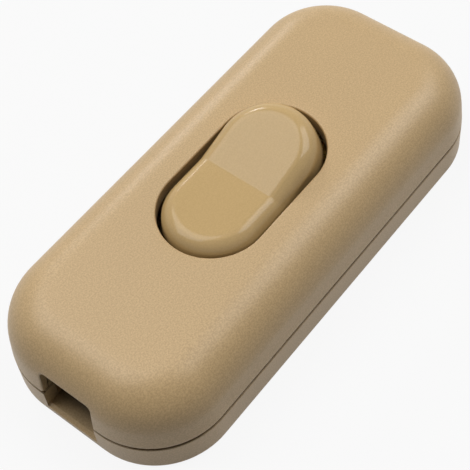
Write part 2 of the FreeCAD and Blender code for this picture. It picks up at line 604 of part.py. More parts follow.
def make_plunger():
    """A round-nosed pin with a well for its spring, sliding in the rocker's guide tube."""
    body = new_body("plunger")
    profile = new_sketch(body, "profile", "XZ_Plane")
    nose = "-" + TIP_BELOW
    shoulder = "(plunger_radius - %s)" % TIP_BELOW
    well = "(plunger_tip_wall - %s)" % TIP_BELOW
    path = [("plunger_radius", shoulder), ("plunger_radius", "plunger_head"),
            ("plunger_bore_radius", "plunger_head"), ("plunger_bore_radius", well), ("0", well), ("0", nose)]
    lines = add_lines(profile, list(zip(path, path[1:])))
    circle = Part.Circle(Vector(0, size(shoulder), 0), Vector(0, 0, 1), size("plunger_radius"))
    arc = profile.addGeometry(Part.ArcOfCircle(circle, math.pi * 1.5, math.pi * 2), False)
    profile.addConstraint(Sketcher.Constraint("Coincident", lines[-1], 2, arc, 1))
    profile.addConstraint(Sketcher.Constraint("Tangent", arc, 2, lines[0], 1))
    revolve(body, "turned", "Revolution", profile, "V_Axis")
    position(body, "0", "0", "pivot_height", axis=(0, -1, 0), angle="rocker_tilt")


def make_plunger_spring():
    """A compression spring between the bottom of the plunger's well and the top of the guide bore.

    Each turn is two half rings, tilted opposite ways so that they meet end to end with one tangent.
    """
    lowest = "(plunger_tip_wall - %s + spring_end_gap + spring_wire / 2)" % TIP_BELOW
    highest = "(guide_top - spring_end_gap - spring_wire / 2)"
    rise = "((%s - %s) / (spring_turns * 2))" % (highest, lowest)
    rings = []
    for number in range(round(size("spring_turns * 2"))):
        ring = doc.addObject("Part::Torus", "spring_ring_%d" % (number + 1))
        bind(ring, "Radius1", "sqrt(spring_radius ^ 2 + (%s / 2) ^ 2)" % rise)
        bind(ring, "Radius2", "spring_wire / 2")
        ring.Angle3 = 180
        tilt = math.degrees(math.atan2(size(rise) / 2, size("spring_radius")))
        height = "%s + %s * %s" % (lowest, rise, number + 0.5)
        turn = Rotation(Vector(0, 1, 0), -tilt if number % 2 else tilt)
        turn = turn.multiply(Rotation(Vector(0, 0, 1), 180 * (number % 2)))
        ring.Placement = Placement(Vector(0, 0, size(height)), turn)
        bind(ring, "Placement.Base.z", height)
        rings.append(ring)
    doc.recompute()
    spring = doc.addObject("Part::MultiFuse", "plunger_spring")
    spring.Label = "plunger_spring"
    spring.Shapes = rings
    position(spring, "0", "0", "pivot_height", axis=(0, -1, 0), angle="rocker_tilt")


def make_contact_bridge():
    """A see-saw strip on a half-round knuckle, lying with its +X arm down on the stop."""
    body = new_body("contact_bridge")
    side_view = new_sketch(body, "side", "XZ_Plane")
    add_rectangle(side_view, "-bridge_arm", "bridge_arm", "bridge_rise", "bridge_rise + bridge_thickness")
    pad(body, "strip", side_view, "bridge_width", side="Symmetric")
    fillet(body, "ends", "bridge_width / 4",
           lambda edge: edge.BoundBox.ZLength > TIGHT and edge.BoundBox.YLength < TIGHT)
    knuckle = new_sketch(body, "knuckle", "XZ_Plane")
    add_circle(knuckle, "0", "0", "knuckle_radius")
    pad(body, "knuckle", knuckle, "bridge_width", side="Symmetric")
    hole = new_sketch(body, "rivet_hole", "XY_Plane")
    add_circle(hole, "-contact_arm", "0", "rivet_radius + running_clearance")
    pocket(body, "rivet_hole", hole, "bridge_rise + bridge_thickness", reverse=True)
    position(body, "0", "0", "bridge_pivot_height", angle="bridge_tilt")


def make_contact(name, head_low, head_height, shank, clench):
    """A silver contact: a bevelled head, a shank, and the clenched side where there is one."""
    body = new_body(name)
    head = new_sketch(body, "head", "XY_Plane", head_low)
    add_circle(head, "-contact_arm", "0", "contact_radius")
    pad(body, "head", head, head_height)
    edge_height = size(head_low) if clench else size("%s + %s" % (head_low, head_height))
    chamfer(body, "face_edge", "contact_radius / 6", lambda edge: level_at(edge, edge_height))
    shank_low, shank_height = shank
    pin = new_sketch(body, "shank", "XY_Plane", shank_low)
    add_circle(pin, "-contact_arm", "0", "rivet_radius")
    pad(body, "shank", pin, shank_height)
    if clench:
        clench_low, clench_height = clench
        tail = new_sketch(body, "tail", "XY_Plane", clench_low)
        add_circle(tail, "-contact_arm", "0", "(contact_radius + rivet_radius) / 2")
        pad(body, "tail", tail, clench_height)
    return body


def make_moving_contact():
    """The contact that is riveted through the bridge's -X arm and tips with it."""
    body = make_contact("moving_contact", "bridge_rise - contact_depth", "contact_depth",
                        ("bridge_rise", "bridge_thickness"), (BRIDGE_TOP, "rivet_head_height"))
    position(body, "0", "0", "bridge_pivot_height", angle="bridge_tilt")


def make_fixed_contact():
    """The contact on the line terminal's strip, as high as the closed bridge comes down."""
    make_contact("fixed_contact", STRIP_TOP, "%s - %s" % (CONTACT_FACE, STRIP_TOP),
                 ("floor_wall", "strip_thickness"), None)


def add_terminal_block(body, name, x_text, y_text):
    """A brass block with a wire bore along the cord and a threaded hole from above."""
    half = "block_length / 2"
    plan = new_sketch(body, name + "_plan", "XY_Plane", "floor_wall")
    add_rectangle(plan, "%s - %s" % (x_text, half), "%s + %s" % (x_text, half),
                  "%s - block_width / 2" % y_text, "%s + block_width / 2" % y_text)
    pad(body, name, plan, "block_height")
    low, high = size("%s - %s" % (x_text, half)), size("%s + %s" % (x_text, half))
    chamfer(body, name + "_edges", "block_edge",
            lambda edge: level_at(edge, size(BLOCK_TOP)) and low - TIGHT < edge.BoundBox.XMin
            and edge.BoundBox.XMax < high + TIGHT)
    wire = new_sketch(body, name + "_wire", "YZ_Plane", "%s - %s" % (x_text, half))
    add_circle(wire, y_text, "floor_wall + wire_height", "wire_radius")
    pocket(body, name + "_wire_bore", wire, "block_length", reverse=True)
    thread = new_sketch(body, name + "_thread", "XY_Plane", BLOCK_TOP)
    add_circle(thread, x_text, y_text, "terminal_screw_radius + running_clearance")
    pocket(body, name + "_thread_hole", thread, "block_height - wire_height")


def make_line_terminal():
    """The switched conductor's first terminal: a block on a strip that ends under the fixed contact."""
    body = new_body("line_terminal")
    strip = new_sketch(body, "strip", "XY_Plane", "floor_wall")
    add_rectangle(strip, "-" + BLOCK_MIDDLE, "-(contact_arm - contact_radius - strip_margin)",
                  "-strip_width / 2", "strip_width / 2")
    pad(body, "strip", strip, "strip_thickness")
    hole = new_sketch(body, "rivet_hole", "XY_Plane", STRIP_TOP)
    add_circle(hole, "-contact_arm", "0", "rivet_radius + running_clearance")
    pocket(body, "rivet_hole", hole, "strip_thickness")
    add_terminal_block(body, "block", "-" + BLOCK_MIDDLE, "0")


def make_load_terminal():
    """The switched conductor's second terminal: its strip rises to a stop and to the bridge's saddle."""
    body = new_body("load_terminal")
    side_view = new_sketch(body, "side", "XZ_Plane")
    post = "saddle_length / 2"
    stop_top = ("bridge_pivot_height - bridge_arm * sin(bridge_tilt)"
                " + bridge_rise * cos(bridge_tilt) - stop_clearance")
    add_polygon(side_view, [
        ("-" + post, "floor_wall"), (BLOCK_MIDDLE, "floor_wall"), (BLOCK_MIDDLE, STRIP_TOP),
        ("bridge_arm", STRIP_TOP), ("bridge_arm", stop_top),
        ("bridge_arm - stop_length", stop_top), ("bridge_arm - stop_length", STRIP_TOP),
        (post, STRIP_TOP), (post, "bridge_pivot_height - saddle_depth"),
        ("-" + post, "bridge_pivot_height - saddle_depth"),
    ])
    pad(body, "strip", side_view, "strip_width", side="Symmetric")
    groove = new_sketch(body, "groove", "XZ_Plane")
    add_circle(groove, "0", "bridge_pivot_height", "knuckle_radius + running_clearance")
    pocket(body, "saddle_groove", groove, "strip_width", side="Symmetric")
    add_terminal_block(body, "block", BLOCK_MIDDLE, "0")


def make_through_terminal():
    """The unswitched conductor: two blocks joined by a bar beside the switch."""
    body = new_body("through_terminal")
    bar = new_sketch(body, "bar", "XY_Plane", "floor_wall")
    add_rectangle(bar, "-" + THROUGH_MIDDLE, THROUGH_MIDDLE,
                  "-%s - through_width / 2" % THROUGH_ACROSS, "-%s + through_width / 2" % THROUGH_ACROSS)
    pad(body, "bar", bar, "strip_thickness")
    add_terminal_block(body, "near_block", "-" + THROUGH_MIDDLE, "-" + THROUGH_ACROSS)
    add_terminal_block(body, "far_block", THROUGH_MIDDLE, "-" + THROUGH_ACROSS)


def make_cord_clamp(name, x_text):
    """A plastic bar across the cord, with teeth below and a hole at each end."""
    body = new_body(name)
    plan = new_sketch(body, "plan", "XY_Plane")
    add_rounded_rectangle(plan, "(clamp_width / 2)", "(%s + clamp_boss_radius)" % CLAMP_SPREAD,
                          "(clamp_width / 4)")
    pad(body, "bar", plan, "clamp_thickness")
    teeth = new_sketch(body, "teeth", "XZ_Plane")
    for sign in ("-", ""):
        middle = "%sclamp_width / 4" % sign
        add_polygon(teeth, [("%s - clamp_ridge / 2" % middle, "clamp_thickness / 4"),
                            (middle, "-clamp_ridge"),
                            ("%s + clamp_ridge / 2" % middle, "clamp_thickness / 4")])
    pad(body, "teeth", teeth, "entry_width", side="Symmetric")
    holes = new_sketch(body, "holes", "XY_Plane", "clamp_thickness")
    for sign in ("-", ""):
        add_circle(holes, "0", sign + CLAMP_SPREAD, "clamp_screw_radius + clamp_hole_play")
    pocket(body, "screw_holes", holes, "clamp_thickness")
    position(body, x_text, "0", "clamp_boss_top")


def make_screw(name, kind, tip, place, flipped=False):
    """A screw turned about Z: its head stands on the origin, its shank hangs below, cross recess above."""
    shank, head = "%s_screw_radius" % kind, "%s_head_radius" % kind
    tall, deep = "%s_head_height" % kind, "%s_screw_length" % kind
    body = new_body(name)
    profile = new_sketch(body, "profile", "XZ_Plane")
    add_polygon(profile, [
        ("0", "-" + deep), (shank + " * tip_share", "-" + deep), (shank, "%s - %s" % (tip, deep)),
        (shank, "0"), (head, "0"), (head, tall + " * bevel_share"),
        (head + " * crown_share", tall), ("0", tall),
    ])
    revolve(body, "turned", "Revolution", profile, "V_Axis")
    reach = "(%s * recess_share)" % head
    for number, (along, across) in enumerate(((reach, "(screw_slot / 2)"), ("(screw_slot / 2)", reach))):
        slot = new_sketch(body, "slot_%d" % number, "XY_Plane", tall)
        add_rectangle(slot, "-" + along, along, "-" + across, across)
        pocket(body, "slot_%d" % number, slot, "screw_slot_depth")
    if flipped:
        position(body, *place, axis=(1, 0, 0), angle=HALF_TURN)
    else:
        position(body, *place)


def check_document():
    """Stop if any feature failed, if a cut took nothing away, or if a piece is not one closed solid."""
    for thing in doc.Objects:
        if "Invalid" in thing.State or "Error" in thing.State:
            raise RuntimeError("%s failed: %s" % (thing.Name, thing.State))
        if thing.TypeId in ("PartDesign::Pocket", "PartDesign::Groove"):
            if thing.Shape.Volume > thing.BaseFeature.Shape.Volume - 0.001:
                raise RuntimeError("%s cuts nothing" % thing.Name)
    pieces = [thing for thing in doc.Objects if thing.TypeId in ("PartDesign::Body", "Part::MultiFuse")]
    for piece in pieces:
        if piece.Shape.isNull() or not piece.Shape.isValid() or len(piece.Shape.Solids) != 1:
            raise RuntimeError("%s is not one valid solid" % piece.Label)
    return pieces


make_upper_shell()
make_lower_shell()
make_rocker()
make_plunger()
make_plunger_spring()
make_contact_bridge()
make_moving_contact()
make_fixed_contact()
make_line_terminal()
make_load_terminal()
make_through_terminal()
for number, (x_text, y_text) in enumerate(TERMINAL_SCREWS, start=1):
    make_screw("terminal_screw_%d" % number, "terminal", "block_edge", (x_text, y_text, SCREW_SEAT))
make_cord_clamp("near_cord_clamp", "-" + CLAMP_AWAY)
make_cord_clamp("far_cord_clamp", CLAMP_AWAY)
for number, (x_text, y_text) in enumerate(CLAMP_SCREWS, start=1):
    make_screw("clamp_screw_%d" % number, "clamp", "screw_tip", (x_text, y_text, CLAMP_TOP))
for number, (x_text, y_text) in enumerate(CASE_SCREWS, start=1):
    make_screw("case_screw_%d" % number, "case", "screw_tip", (x_text, y_text, "counterbore_depth"),
               flipped=True)

doc.recompute()
os.makedirs("parts", exist_ok=True)
for piece in check_document():
    piece.Shape.exportStep("parts/%s.step" % piece.Label)
    print(piece.Label, round(piece.Shape.Volume, 2))
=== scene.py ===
import json
import math

import bmesh
import bpy
import numpy as np
from bpy.props import FloatProperty, FloatVectorProperty, PointerProperty
from mathutils import Matrix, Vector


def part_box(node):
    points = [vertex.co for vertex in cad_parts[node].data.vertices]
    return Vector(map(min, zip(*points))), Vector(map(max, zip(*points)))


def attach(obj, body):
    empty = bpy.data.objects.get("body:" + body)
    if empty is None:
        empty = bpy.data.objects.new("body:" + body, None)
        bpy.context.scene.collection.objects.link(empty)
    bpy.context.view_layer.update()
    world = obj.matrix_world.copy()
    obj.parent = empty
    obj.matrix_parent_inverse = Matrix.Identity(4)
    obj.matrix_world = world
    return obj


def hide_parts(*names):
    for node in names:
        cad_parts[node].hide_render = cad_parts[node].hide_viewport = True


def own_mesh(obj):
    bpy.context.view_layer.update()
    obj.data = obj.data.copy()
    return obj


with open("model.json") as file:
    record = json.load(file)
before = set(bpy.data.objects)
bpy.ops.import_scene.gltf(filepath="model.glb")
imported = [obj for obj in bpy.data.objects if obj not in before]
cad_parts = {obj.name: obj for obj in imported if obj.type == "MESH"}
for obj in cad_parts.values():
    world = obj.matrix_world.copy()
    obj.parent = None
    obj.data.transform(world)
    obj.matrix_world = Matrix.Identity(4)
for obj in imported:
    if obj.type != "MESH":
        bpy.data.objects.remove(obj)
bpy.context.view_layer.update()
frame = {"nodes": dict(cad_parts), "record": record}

bl_info = {
    "name": "Inline Cord Switch",
    "version": (1, 0, 0),
    "blender": (4, 5, 0),
    "location": "View3D > Sidebar > Cord Switch",
    "description": "A rocker switch for a lamp cord in satin gold plastic, dressed on its packed frame",
    "category": "Add Mesh",
}

HOUSING_LOW, HOUSING_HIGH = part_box("lower_shell")
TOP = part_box("upper_shell")[1].z
MILLIMETRE = 0.001
QUARTER = math.pi / 2
SUNK = 0.0002  # how far a form that hangs from a ceiling is sunk into it
WHITE, GREY = (1.0, 1.0, 1.0, 1.0), (0.5, 0.5, 0.5, 1.0)
HOLLOW_EDGE = 0.0001  # how far the painted shade of a hollow reaches past its sides
ROUNDING = np.linspace(0.0, 1.0, 7) ** 1.6  # steps across a small rounded edge, closer at its sharp end
# points of the upper shell's grid, along its plan and over its section
PLAN_STEPS = {"entry corner": 7, "entry top": 9, "beside entry": 4, "opening end": 28, "opening side": 9,
              "corner": 22}
SECTION_STEPS = {"roll": 26, "side": 8, "top": 11, "opening edge": 7, "opening wall": 4, "ceiling": 6,
                 "inner side": 6}
EAR_STEPS = 33  # points over an ear's bearing
MERGE_DISTANCE = 4e-7  # points nearer than this are one point
SLIVER = 1e-8  # edges shorter than this are taken out
SAME_PLANE = math.radians(0.2)  # a CAD node's triangles that meet at less are one face
SHARP, CAD_SHARP = 32.0, 28.0  # degrees past which an edge stays sharp, on a new piece and on a CAD form
MIX_SHARE, MIX_FIRST, MIX_SECOND, MIX_RESULT = 0, 6, 7, 2  # a Mix node's sockets when it mixes colours
SENSOR = 36.0  # millimetres
CLIP = (0.01, 10.0)  # nearest and furthest that the camera sees
LAMP_DISTANCE = 0.7
# soft lamps: name, turn and rise in degrees as for the camera, width and height in metres, watts
LAMPS = (("left_softbox", 194, 62, 0.52, 0.46, 2.75), ("right_softbox", 67, 56, 0.42, 0.42, 2.50),
         ("low_lamp", 150, 27, 0.18, 0.10, 0.90))


def length(name, description, default):
    """A property that holds a length in metres."""
    return FloatProperty(name=name, description=description, default=default, unit="LENGTH", precision=5)


def angle(name, description, degrees):
    """A property that holds an angle."""
    return FloatProperty(name=name, description=description, default=math.radians(degrees), subtype="ANGLE")


def factor(name, description, default):
    """A property between none and all."""
    return FloatProperty(name=name, description=description, default=default, min=0.0, max=1.0,
                         subtype="FACTOR")


def colour(name, description, default):
    """A property that holds a linear colour."""
    return FloatVectorProperty(name=name, description=description, default=default, subtype="COLOR",
                               size=3, min=0.0, max=1.0)


class CoverSizes(bpy.types.PropertyGroup):
    """The upper shell: a drafted slab with a deep roll, an opening and two cord entries."""
    parting: length("Parting", "Lower edge of the shell, above the parting groove", 0.00518)
    corner: length("Corner", "Radius of the corners in plan, at the parting", 0.0105)
    draft: angle("Draft", "Lean of the sides", 5.0)
    roll: length("Roll", "Radius from the sides to the flat top", 0.0061)
    wall: length("Wall", "Thickness of the sides and the top", 0.002)
    lip: length("Lip", "Height of the lip that holds the shells in line", 0.001)
    rebate: length("Rebate", "Rebate for that lip, in from the outside", 0.001)
    opening_length: length("Opening length", "Opening for the rocker, end to end", 0.0262)
    opening_width: length("Opening width", "Opening for the rocker, side to side", 0.0146)
    opening_edge: length("Opening edge", "Rounding of that opening", 0.00025)
    entry_width: length("Entry width", "Cord entry, side to side", 0.0082)
    entry_top: length("Entry top", "Upper edge of the cord entry", 0.0094)
    entry_corner: length("Entry corner", "Upper corners of the cord entry", 0.0008)
    entry_edge: length("Entry edge", "Rounding of the shell round the cord entry", 0.00025)
    lower_edge: length("Lower edge", "Rounding of the shell's lower edge", 0.00015)
    ear_gap: length("Ear gap", "Ear behind the side of the opening", 0.0003)
    ear_wall: length("Ear wall", "Thickness of the ears", 0.0018)
    ear_reach: length("Ear reach", "Ear either side of the rocker's axis, and below it", 0.0029)
    bearing: length("Bearing", "Radius of the ear's bearing", 0.00135)
    ear_mouth: length("Ear mouth", "Half width of the slot below the bearing", 0.00105)
    boss: length("Boss", "Radius of the bosses for the case screws", 0.0026)
    boss_low: length("Boss foot", "Lower end of those bosses", 0.0042)
    boss_x: length("Boss X", "Bosses from the middle, along", 0.0206)
    boss_y: length("Boss Y", "Bosses from the middle, across", 0.010)
    pilot: length("Pilot", "Radius of their pilot holes", 0.00135)
    pilot_top: length("Pilot top", "Upper end of those holes", 0.00995)


class RockerSizes(bpy.types.PropertyGroup):
    """The rocker: a wheel segment with a shallow valley across its top."""
    pivot: length("Pivot", "Height of its axis", 0.010)
    tilt: angle("Tilt", "Turned from level at rest", 8.0)
    slope: angle("Slope", "Fall of each half towards the valley", 8.0)
    radius: length("Radius", "Axis to either end", 0.01275)
    half_width: length("Half width", "Axis to either side", 0.00675)
    valley: length("Valley", "Bottom of the valley above the axis", 0.0042)
    valley_round: length("Valley rounding", "Radius along the valley", 0.0007)
    rim: length("Rim", "Rounding round the top", 0.0016)
    rim_flat: factor("Rim flatness", "How far the rim leans towards a plain bevel", 0.45)
    skirt: length("Skirt", "Lower edge above the axis", 0.0003)
    hub_drop: length("Hub drop", "Lower edge of the deeper middle, under the axis", 0.0018)
    hub_half: length("Hub half", "Half length of that middle, at the skirt", 0.0038)
    wall: length("Wall", "Thickness of the sides", 0.0014)
    top_wall: length("Top wall", "Thickness under the valley", 0.0018)
    stub: length("Stub", "Radius of the stubs it turns on", 0.0013)
    stub_reach: length("Stub reach", "Tip of a stub beyond the side", 0.0023)
    stub_bevel: length("Stub bevel", "Bevel of a stub's tip", 0.00025)
    bore: length("Bore", "Radius of the plunger's well", 0.00205)
    bore_end: length("Bore end", "Blind end of that well above the axis", 0.002)
    tube: length("Tube", "Radius of the tube round the well", 0.0032)
    web: length("Web", "Half thickness of the webs along the rocker", 0.0005)
    cross_web: length("Cross web", "Half thickness of the webs across it", 0.001)


class Finishes(bpy.types.PropertyGroup):
    """Colours of the finishes, the size of the grain of the moulding, and the painted shade of the groove and
    hollows.
    """
    gold: colour("Gold", "Satin gold plastic between its flecks", (0.445, 0.302, 0.142))
    gold_fleck: colour("Gold fleck", "Bright flecks in that plastic", (0.560, 0.388, 0.196))
    gloss_gold: colour("Gloss gold", "Rocker, between its flecks", (0.520, 0.353, 0.151))
    gloss_fleck: colour("Gloss fleck", "Rocker, bright flecks", (0.559, 0.383, 0.171))
    natural: colour("Natural", "Clamps and plunger", (0.80, 0.78, 0.72))
    brass: colour("Brass", "Terminals and bridge", (0.80, 0.60, 0.26))
    silver: colour("Silver", "Contacts", (0.86, 0.85, 0.82))
    steel: colour("Steel", "Screws and spring", (0.58, 0.59, 0.60))
    grain: length("Grain", "Size of the flecks", 0.00020)
    orange_peel: length("Orange peel", "Size of the dimples of the moulding", 0.00042)
    # painted shade: the parting groove, the hollows behind the cord entries and the walls round the rocker
    # are made darker in the colour, where shade falls
    gap_height: length("Gap height", "Middle of the parting groove", 0.00491)
    gap_half: length("Gap half", "Half the height over which the groove is shaded", 0.00029)
    painted_gap_shade: factor("Painted gap shade", "How much darker the groove is", 0.45)
    hollow_depth: length("Hollow depth", "How far in from a cord entry its shade is full", 0.0032)
    painted_hollow_shade: factor("Painted hollow shade", "How much darker the hollow behind a cord entry is", 0.90)
    painted_well_shade: factor("Painted well shade", "How much darker the walls round the rocker are", 0.55)


class StageSettings(bpy.types.PropertyGroup):
    """Floor, lamps and camera."""
    azimuth: angle("Azimuth", "Turn of the camera, none looks along +Y", -46.47)
    elevation: angle("Elevation", "Rise of the camera above the horizon", 54.71)
    roll: angle("Roll", "Turn of the picture", -6.58)
    distance: length("Distance", "Camera to the middle of the housing", 0.16995)
    focal: length("Focal length", "On a sensor 36 mm wide", 0.09972)
    shift_x: FloatProperty(name="Shift X", description="Sideways shift of the picture", default=-0.0229)
    shift_y: FloatProperty(name="Shift Y", description="Upward shift of the picture", default=-0.0560)
    floor: colour("Floor", "Pale floor", (0.52, 0.52, 0.52))
    floor_half: length("Floor half", "Middle to edge of the floor", 1.5)
    floor_drop: length("Floor drop", "Floor under the switch", 0.00002)
    floor_rough: factor("Floor roughness", "Roughness of the floor", 0.9)
    floor_white: factor("Floor white", "How far the floor is plain white where it is seen", 0.90)
    world_light: factor("World light", "Strength of the world as a light", 0.05)
    world_seen: factor("World seen", "Strength of the world where it is seen", 1.0)


def settings():
    """The add-on's property groups, held by the scene."""
    return bpy.context.scene.cord_switch


def cells(rows, columns, wrap_rows, wrap_columns):
    """Corner numbers of each cell of a grid of points counted row by row."""
    number = np.arange(rows * columns).reshape(rows, columns)
    if wrap_columns:
        number = np.hstack([number, number[:, :1]])
    if wrap_rows:
        number = np.vstack([number, number[:1]])
    corners = [number[:-1, :-1], number[:-1, 1:], number[1:, 1:], number[1:, :-1]]
    return np.stack(corners, axis=-1).reshape(-1, 4)


def lay_mesh(name, grids):
    """One mesh from several grids, each (points of shape rows x columns x 3, wrap rows, wrap columns)."""
    points, faces, start = [], [], 0
    for grid, wrap_rows, wrap_columns in grids:
        rows, columns = grid.shape[:2]
        points.append(grid.reshape(-1, 3))
        faces.append(cells(rows, columns, wrap_rows, wrap_columns) + start)
        start += rows * columns
    mesh = bpy.data.meshes.new(name)
    mesh.from_pydata(np.concatenate(points), [], np.concatenate(faces))
    mesh.validate()
    return mesh


def close_mesh(mesh, from_cad=False):
    """Merges what coincides, turns the faces outwards, and smooths all but edges sharper than an angle.

    A CAD node's faces already point outwards, and its triangles that lie in one plane become one face.
    """
    work = bmesh.new()
    work.from_mesh(mesh)
    bmesh.ops.remove_doubles(work, verts=work.verts, dist=MERGE_DISTANCE)
    bmesh.ops.dissolve_degenerate(work, edges=work.edges, dist=SLIVER)
    if from_cad:
        bmesh.ops.dissolve_limit(work, angle_limit=SAME_PLANE, verts=[], edges=work.edges)
    else:
        bmesh.ops.recalc_face_normals(work, faces=work.faces)
    work.to_mesh(mesh)
    work.free()
    mesh.polygons.foreach_set("use_smooth", np.ones(len(mesh.polygons), dtype=bool))
    mesh.set_sharp_from_angle(angle=math.radians(CAD_SHARP if from_cad else SHARP))
    mesh.update()
    return mesh


def add_object(name, data):
    """A new object in the scene."""
    item = bpy.data.objects.new(name, data)
    bpy.context.scene.collection.objects.link(item)
    return item


def stand_in(name, mesh, *nodes):
    """A piece in place of CAD nodes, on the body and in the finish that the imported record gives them."""
    record = frame["record"]
    body = next(body for body, held in record["behaviour"]["bodies"].items() if nodes[0] in held)
    slot = next(part["material_slot"] for part in record["subparts"] if part["node"] == nodes[0])
    mesh.materials.clear()
    mesh.materials.append(finish(slot))
    piece = add_object(name, mesh)
    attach(piece, body)
    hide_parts(*nodes)
    return piece


def let_spring_give(spring):
    """Reads the plunger's slide axis and the spring's points, and gives the spring a mesh of its own; the
    spring keeps its shape.
    """
    joints = frame["record"]["behaviour"]["joints"]
    slide = next(joint for joint in joints if joint["child"] == "plunger")
    axis = np.array(slide["axis"])
    places = np.empty(len(spring.data.vertices) * 3)
    spring.data.vertices.foreach_get("co", places)
    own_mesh(spring)


def joined(*parts):
    """Arrays and numbers side by side, along a new last axis."""
    return np.stack(np.broadcast_arrays(*parts), axis=-1)


def between(first, last, count):
    """Rows from one to another in equal steps, with both."""
    return [first * (1.0 - share) + last * share for share in np.linspace(0.0, 1.0, count)]


def turned(points, pivot, tilt):
    """Points in the rocker's own frame, turned about +Y by -tilt and set down at the pivot's height."""
    x, y, z = points[..., 0], points[..., 1], points[..., 2]
    along = x * math.cos(tilt) - z * math.sin(tilt)
    above = x * math.sin(tilt) + z * math.cos(tilt)
    return joined(along, y, above + pivot)


def lathe(profile, centre=(0.0, 0.0), steps=48):
    """A profile of (radius, height) pairs turned about Z: x = radius cos a, y = radius sin a."""
    radius, height = np.array(profile, dtype=float).T[..., None]
    turn = np.linspace(0.0, 2.0 * math.pi, steps, endpoint=False)
    return joined(centre[0] + radius * np.cos(turn), centre[1] + radius * np.sin(turn), height)


def block(low, high):
    """A box as a grid: a point, its low ring, its high ring and a point."""
    (x0, y0, z0), (x1, y1, z1) = low, high
    ring = np.array([(x0, y0), (x1, y0), (x1, y1), (x0, y1)])
    middle = np.broadcast_to(ring.mean(axis=0), ring.shape)
    rows = [(middle, z0), (ring, z0), (ring, z1), (middle, z1)]
    return np.stack([joined(*plan.T, z) for plan, z in rows])


class Outline:
    """Columns round a rounded rectangle: a point of its core rectangle and the outward normal of each.

    An offset of the outline by any radius is core + normal * radius. Columns in a cord entry carry the
    height of the entry's upper edge, and the others carry zero.
    """

    def __init__(self, sizes):
        half_x, half_y = HOUSING_HIGH.x - sizes.corner, HOUSING_HIGH.y - sizes.corner
        entry_half, edge_top, edge_corner = sizes.entry_width / 2, sizes.entry_top, sizes.entry_corner
        opening_half = (sizes.opening_length - sizes.opening_width) / 2
        # the end walls: plain, then across the entry with its rounded upper corners, then plain
        bend = np.linspace(0.0, QUARTER, PLAN_STEPS["entry corner"])
        inset = edge_corner * (1.0 - np.cos(bend))
        rise = edge_top - edge_corner * (1.0 - np.sin(bend))
        flat = entry_half - edge_corner
        middle = np.linspace(-flat, flat, PLAN_STEPS["entry top"])[1:-1]
        entry_y = np.concatenate([inset - entry_half, middle, (entry_half - inset)[::-1]])
        entry_z = np.concatenate([rise, np.full(len(middle), edge_top), rise[::-1]])
        beside = entry_half + sizes.entry_edge * ROUNDING[::-1]
        plain = -np.concatenate([np.linspace(half_y, beside[0], PLAN_STEPS["beside entry"])[:-1], beside])
        end_y = np.concatenate([plain, entry_y, -plain[::-1]])
        end_z = np.concatenate([np.zeros(len(plain)), entry_z, np.zeros(len(plain))])
        # the long sides: closer together where they face the round ends of the opening
        facing = np.linspace(QUARTER, math.atan2(half_y, half_x - opening_half), PLAN_STEPS["opening end"])
        fan = opening_half + half_y / np.tan(facing[1:])
        level = np.linspace(-opening_half, opening_half, PLAN_STEPS["opening side"])
        side_x = np.concatenate([-fan[::-1], level, fan])
        side_x[0], side_x[-1] = -half_x, half_x
        corner = np.linspace(0.0, QUARTER, PLAN_STEPS["corner"])[1:-1]
        parts = []
        for sign in (1.0, -1.0):
            turn = corner + (0.0 if sign > 0 else math.pi)
            next_turn = turn + QUARTER
            parts += [joined(sign * half_x, sign * end_y, sign, 0.0, end_z),
                      joined(sign * half_x, sign * half_y, np.cos(turn), np.sin(turn), 0.0),
                      joined(sign * side_x[::-1], sign * half_y, 0.0, sign, 0.0),
                      joined(-sign * half_x, sign * half_y, np.cos(next_turn), np.sin(next_turn), 0.0)]
        columns = np.concatenate(parts)
        self.core, self.normal, self.edge = columns[:, :2], columns[:, 2:4], columns[:, 4]

    def ring(self, radius, height):
        """The outline offset by a radius at a height; both may differ from column to column."""
        return joined(*(self.core.T + self.normal.T * radius), height)


def entry_distance(sizes, y, height):
    """Distance of a point of an end face to its cord entry shrunk by its corners' radius, less that."""
    across = np.abs(y) - (sizes.entry_width / 2 - sizes.entry_corner)
    above = height - (sizes.entry_top - sizes.entry_corner)
    outside = np.hypot(np.maximum(across, 0.0), np.maximum(above, 0.0))
    return outside + np.minimum(np.maximum(across, above), 0.0) - sizes.entry_corner


def rounded_away(radius, distance):
    """How far a quarter-round edge falls back from its face: radius - sqrt(radius^2 - short^2).

    short is what is missing from the radius at a distance from the sharp edge.
    """
    short = np.clip(radius - distance, 0.0, radius)
    return radius - np.sqrt(radius ** 2 - short ** 2)


def opening_ring(plan, straight_half, radius, height):
    """The nearest points of a stadium to points in plan: a radius out from its middle line."""
    x = np.clip(plan[:, 0], -straight_half, straight_half)
    facing = np.arctan2(plan[:, 1], plan[:, 0] - x)
    return joined(x + radius * np.cos(facing), radius * np.sin(facing), height)


def shell_radius(sizes, height, inset=0.0):
    """How far a drafted side stands out at a height: a leaning line, then an arc that meets it smoothly.

    An inner side is set in, and the middle of its arc is as high as the outer one's.
    """
    corner, roll, middle = sizes.corner - inset, sizes.roll - inset, TOP - sizes.roll
    leaning = corner - (height - sizes.parting) * math.tan(sizes.draft)
    lift = (middle - sizes.parting) * math.sin(sizes.draft)
    arc_middle = corner - (roll + lift) / math.cos(sizes.draft)
    rise = np.clip(height - middle, 0.0, roll)
    arc = arc_middle + np.sqrt(roll ** 2 - rise ** 2)
    return np.where(height > middle + roll * math.sin(sizes.draft), arc, leaning)


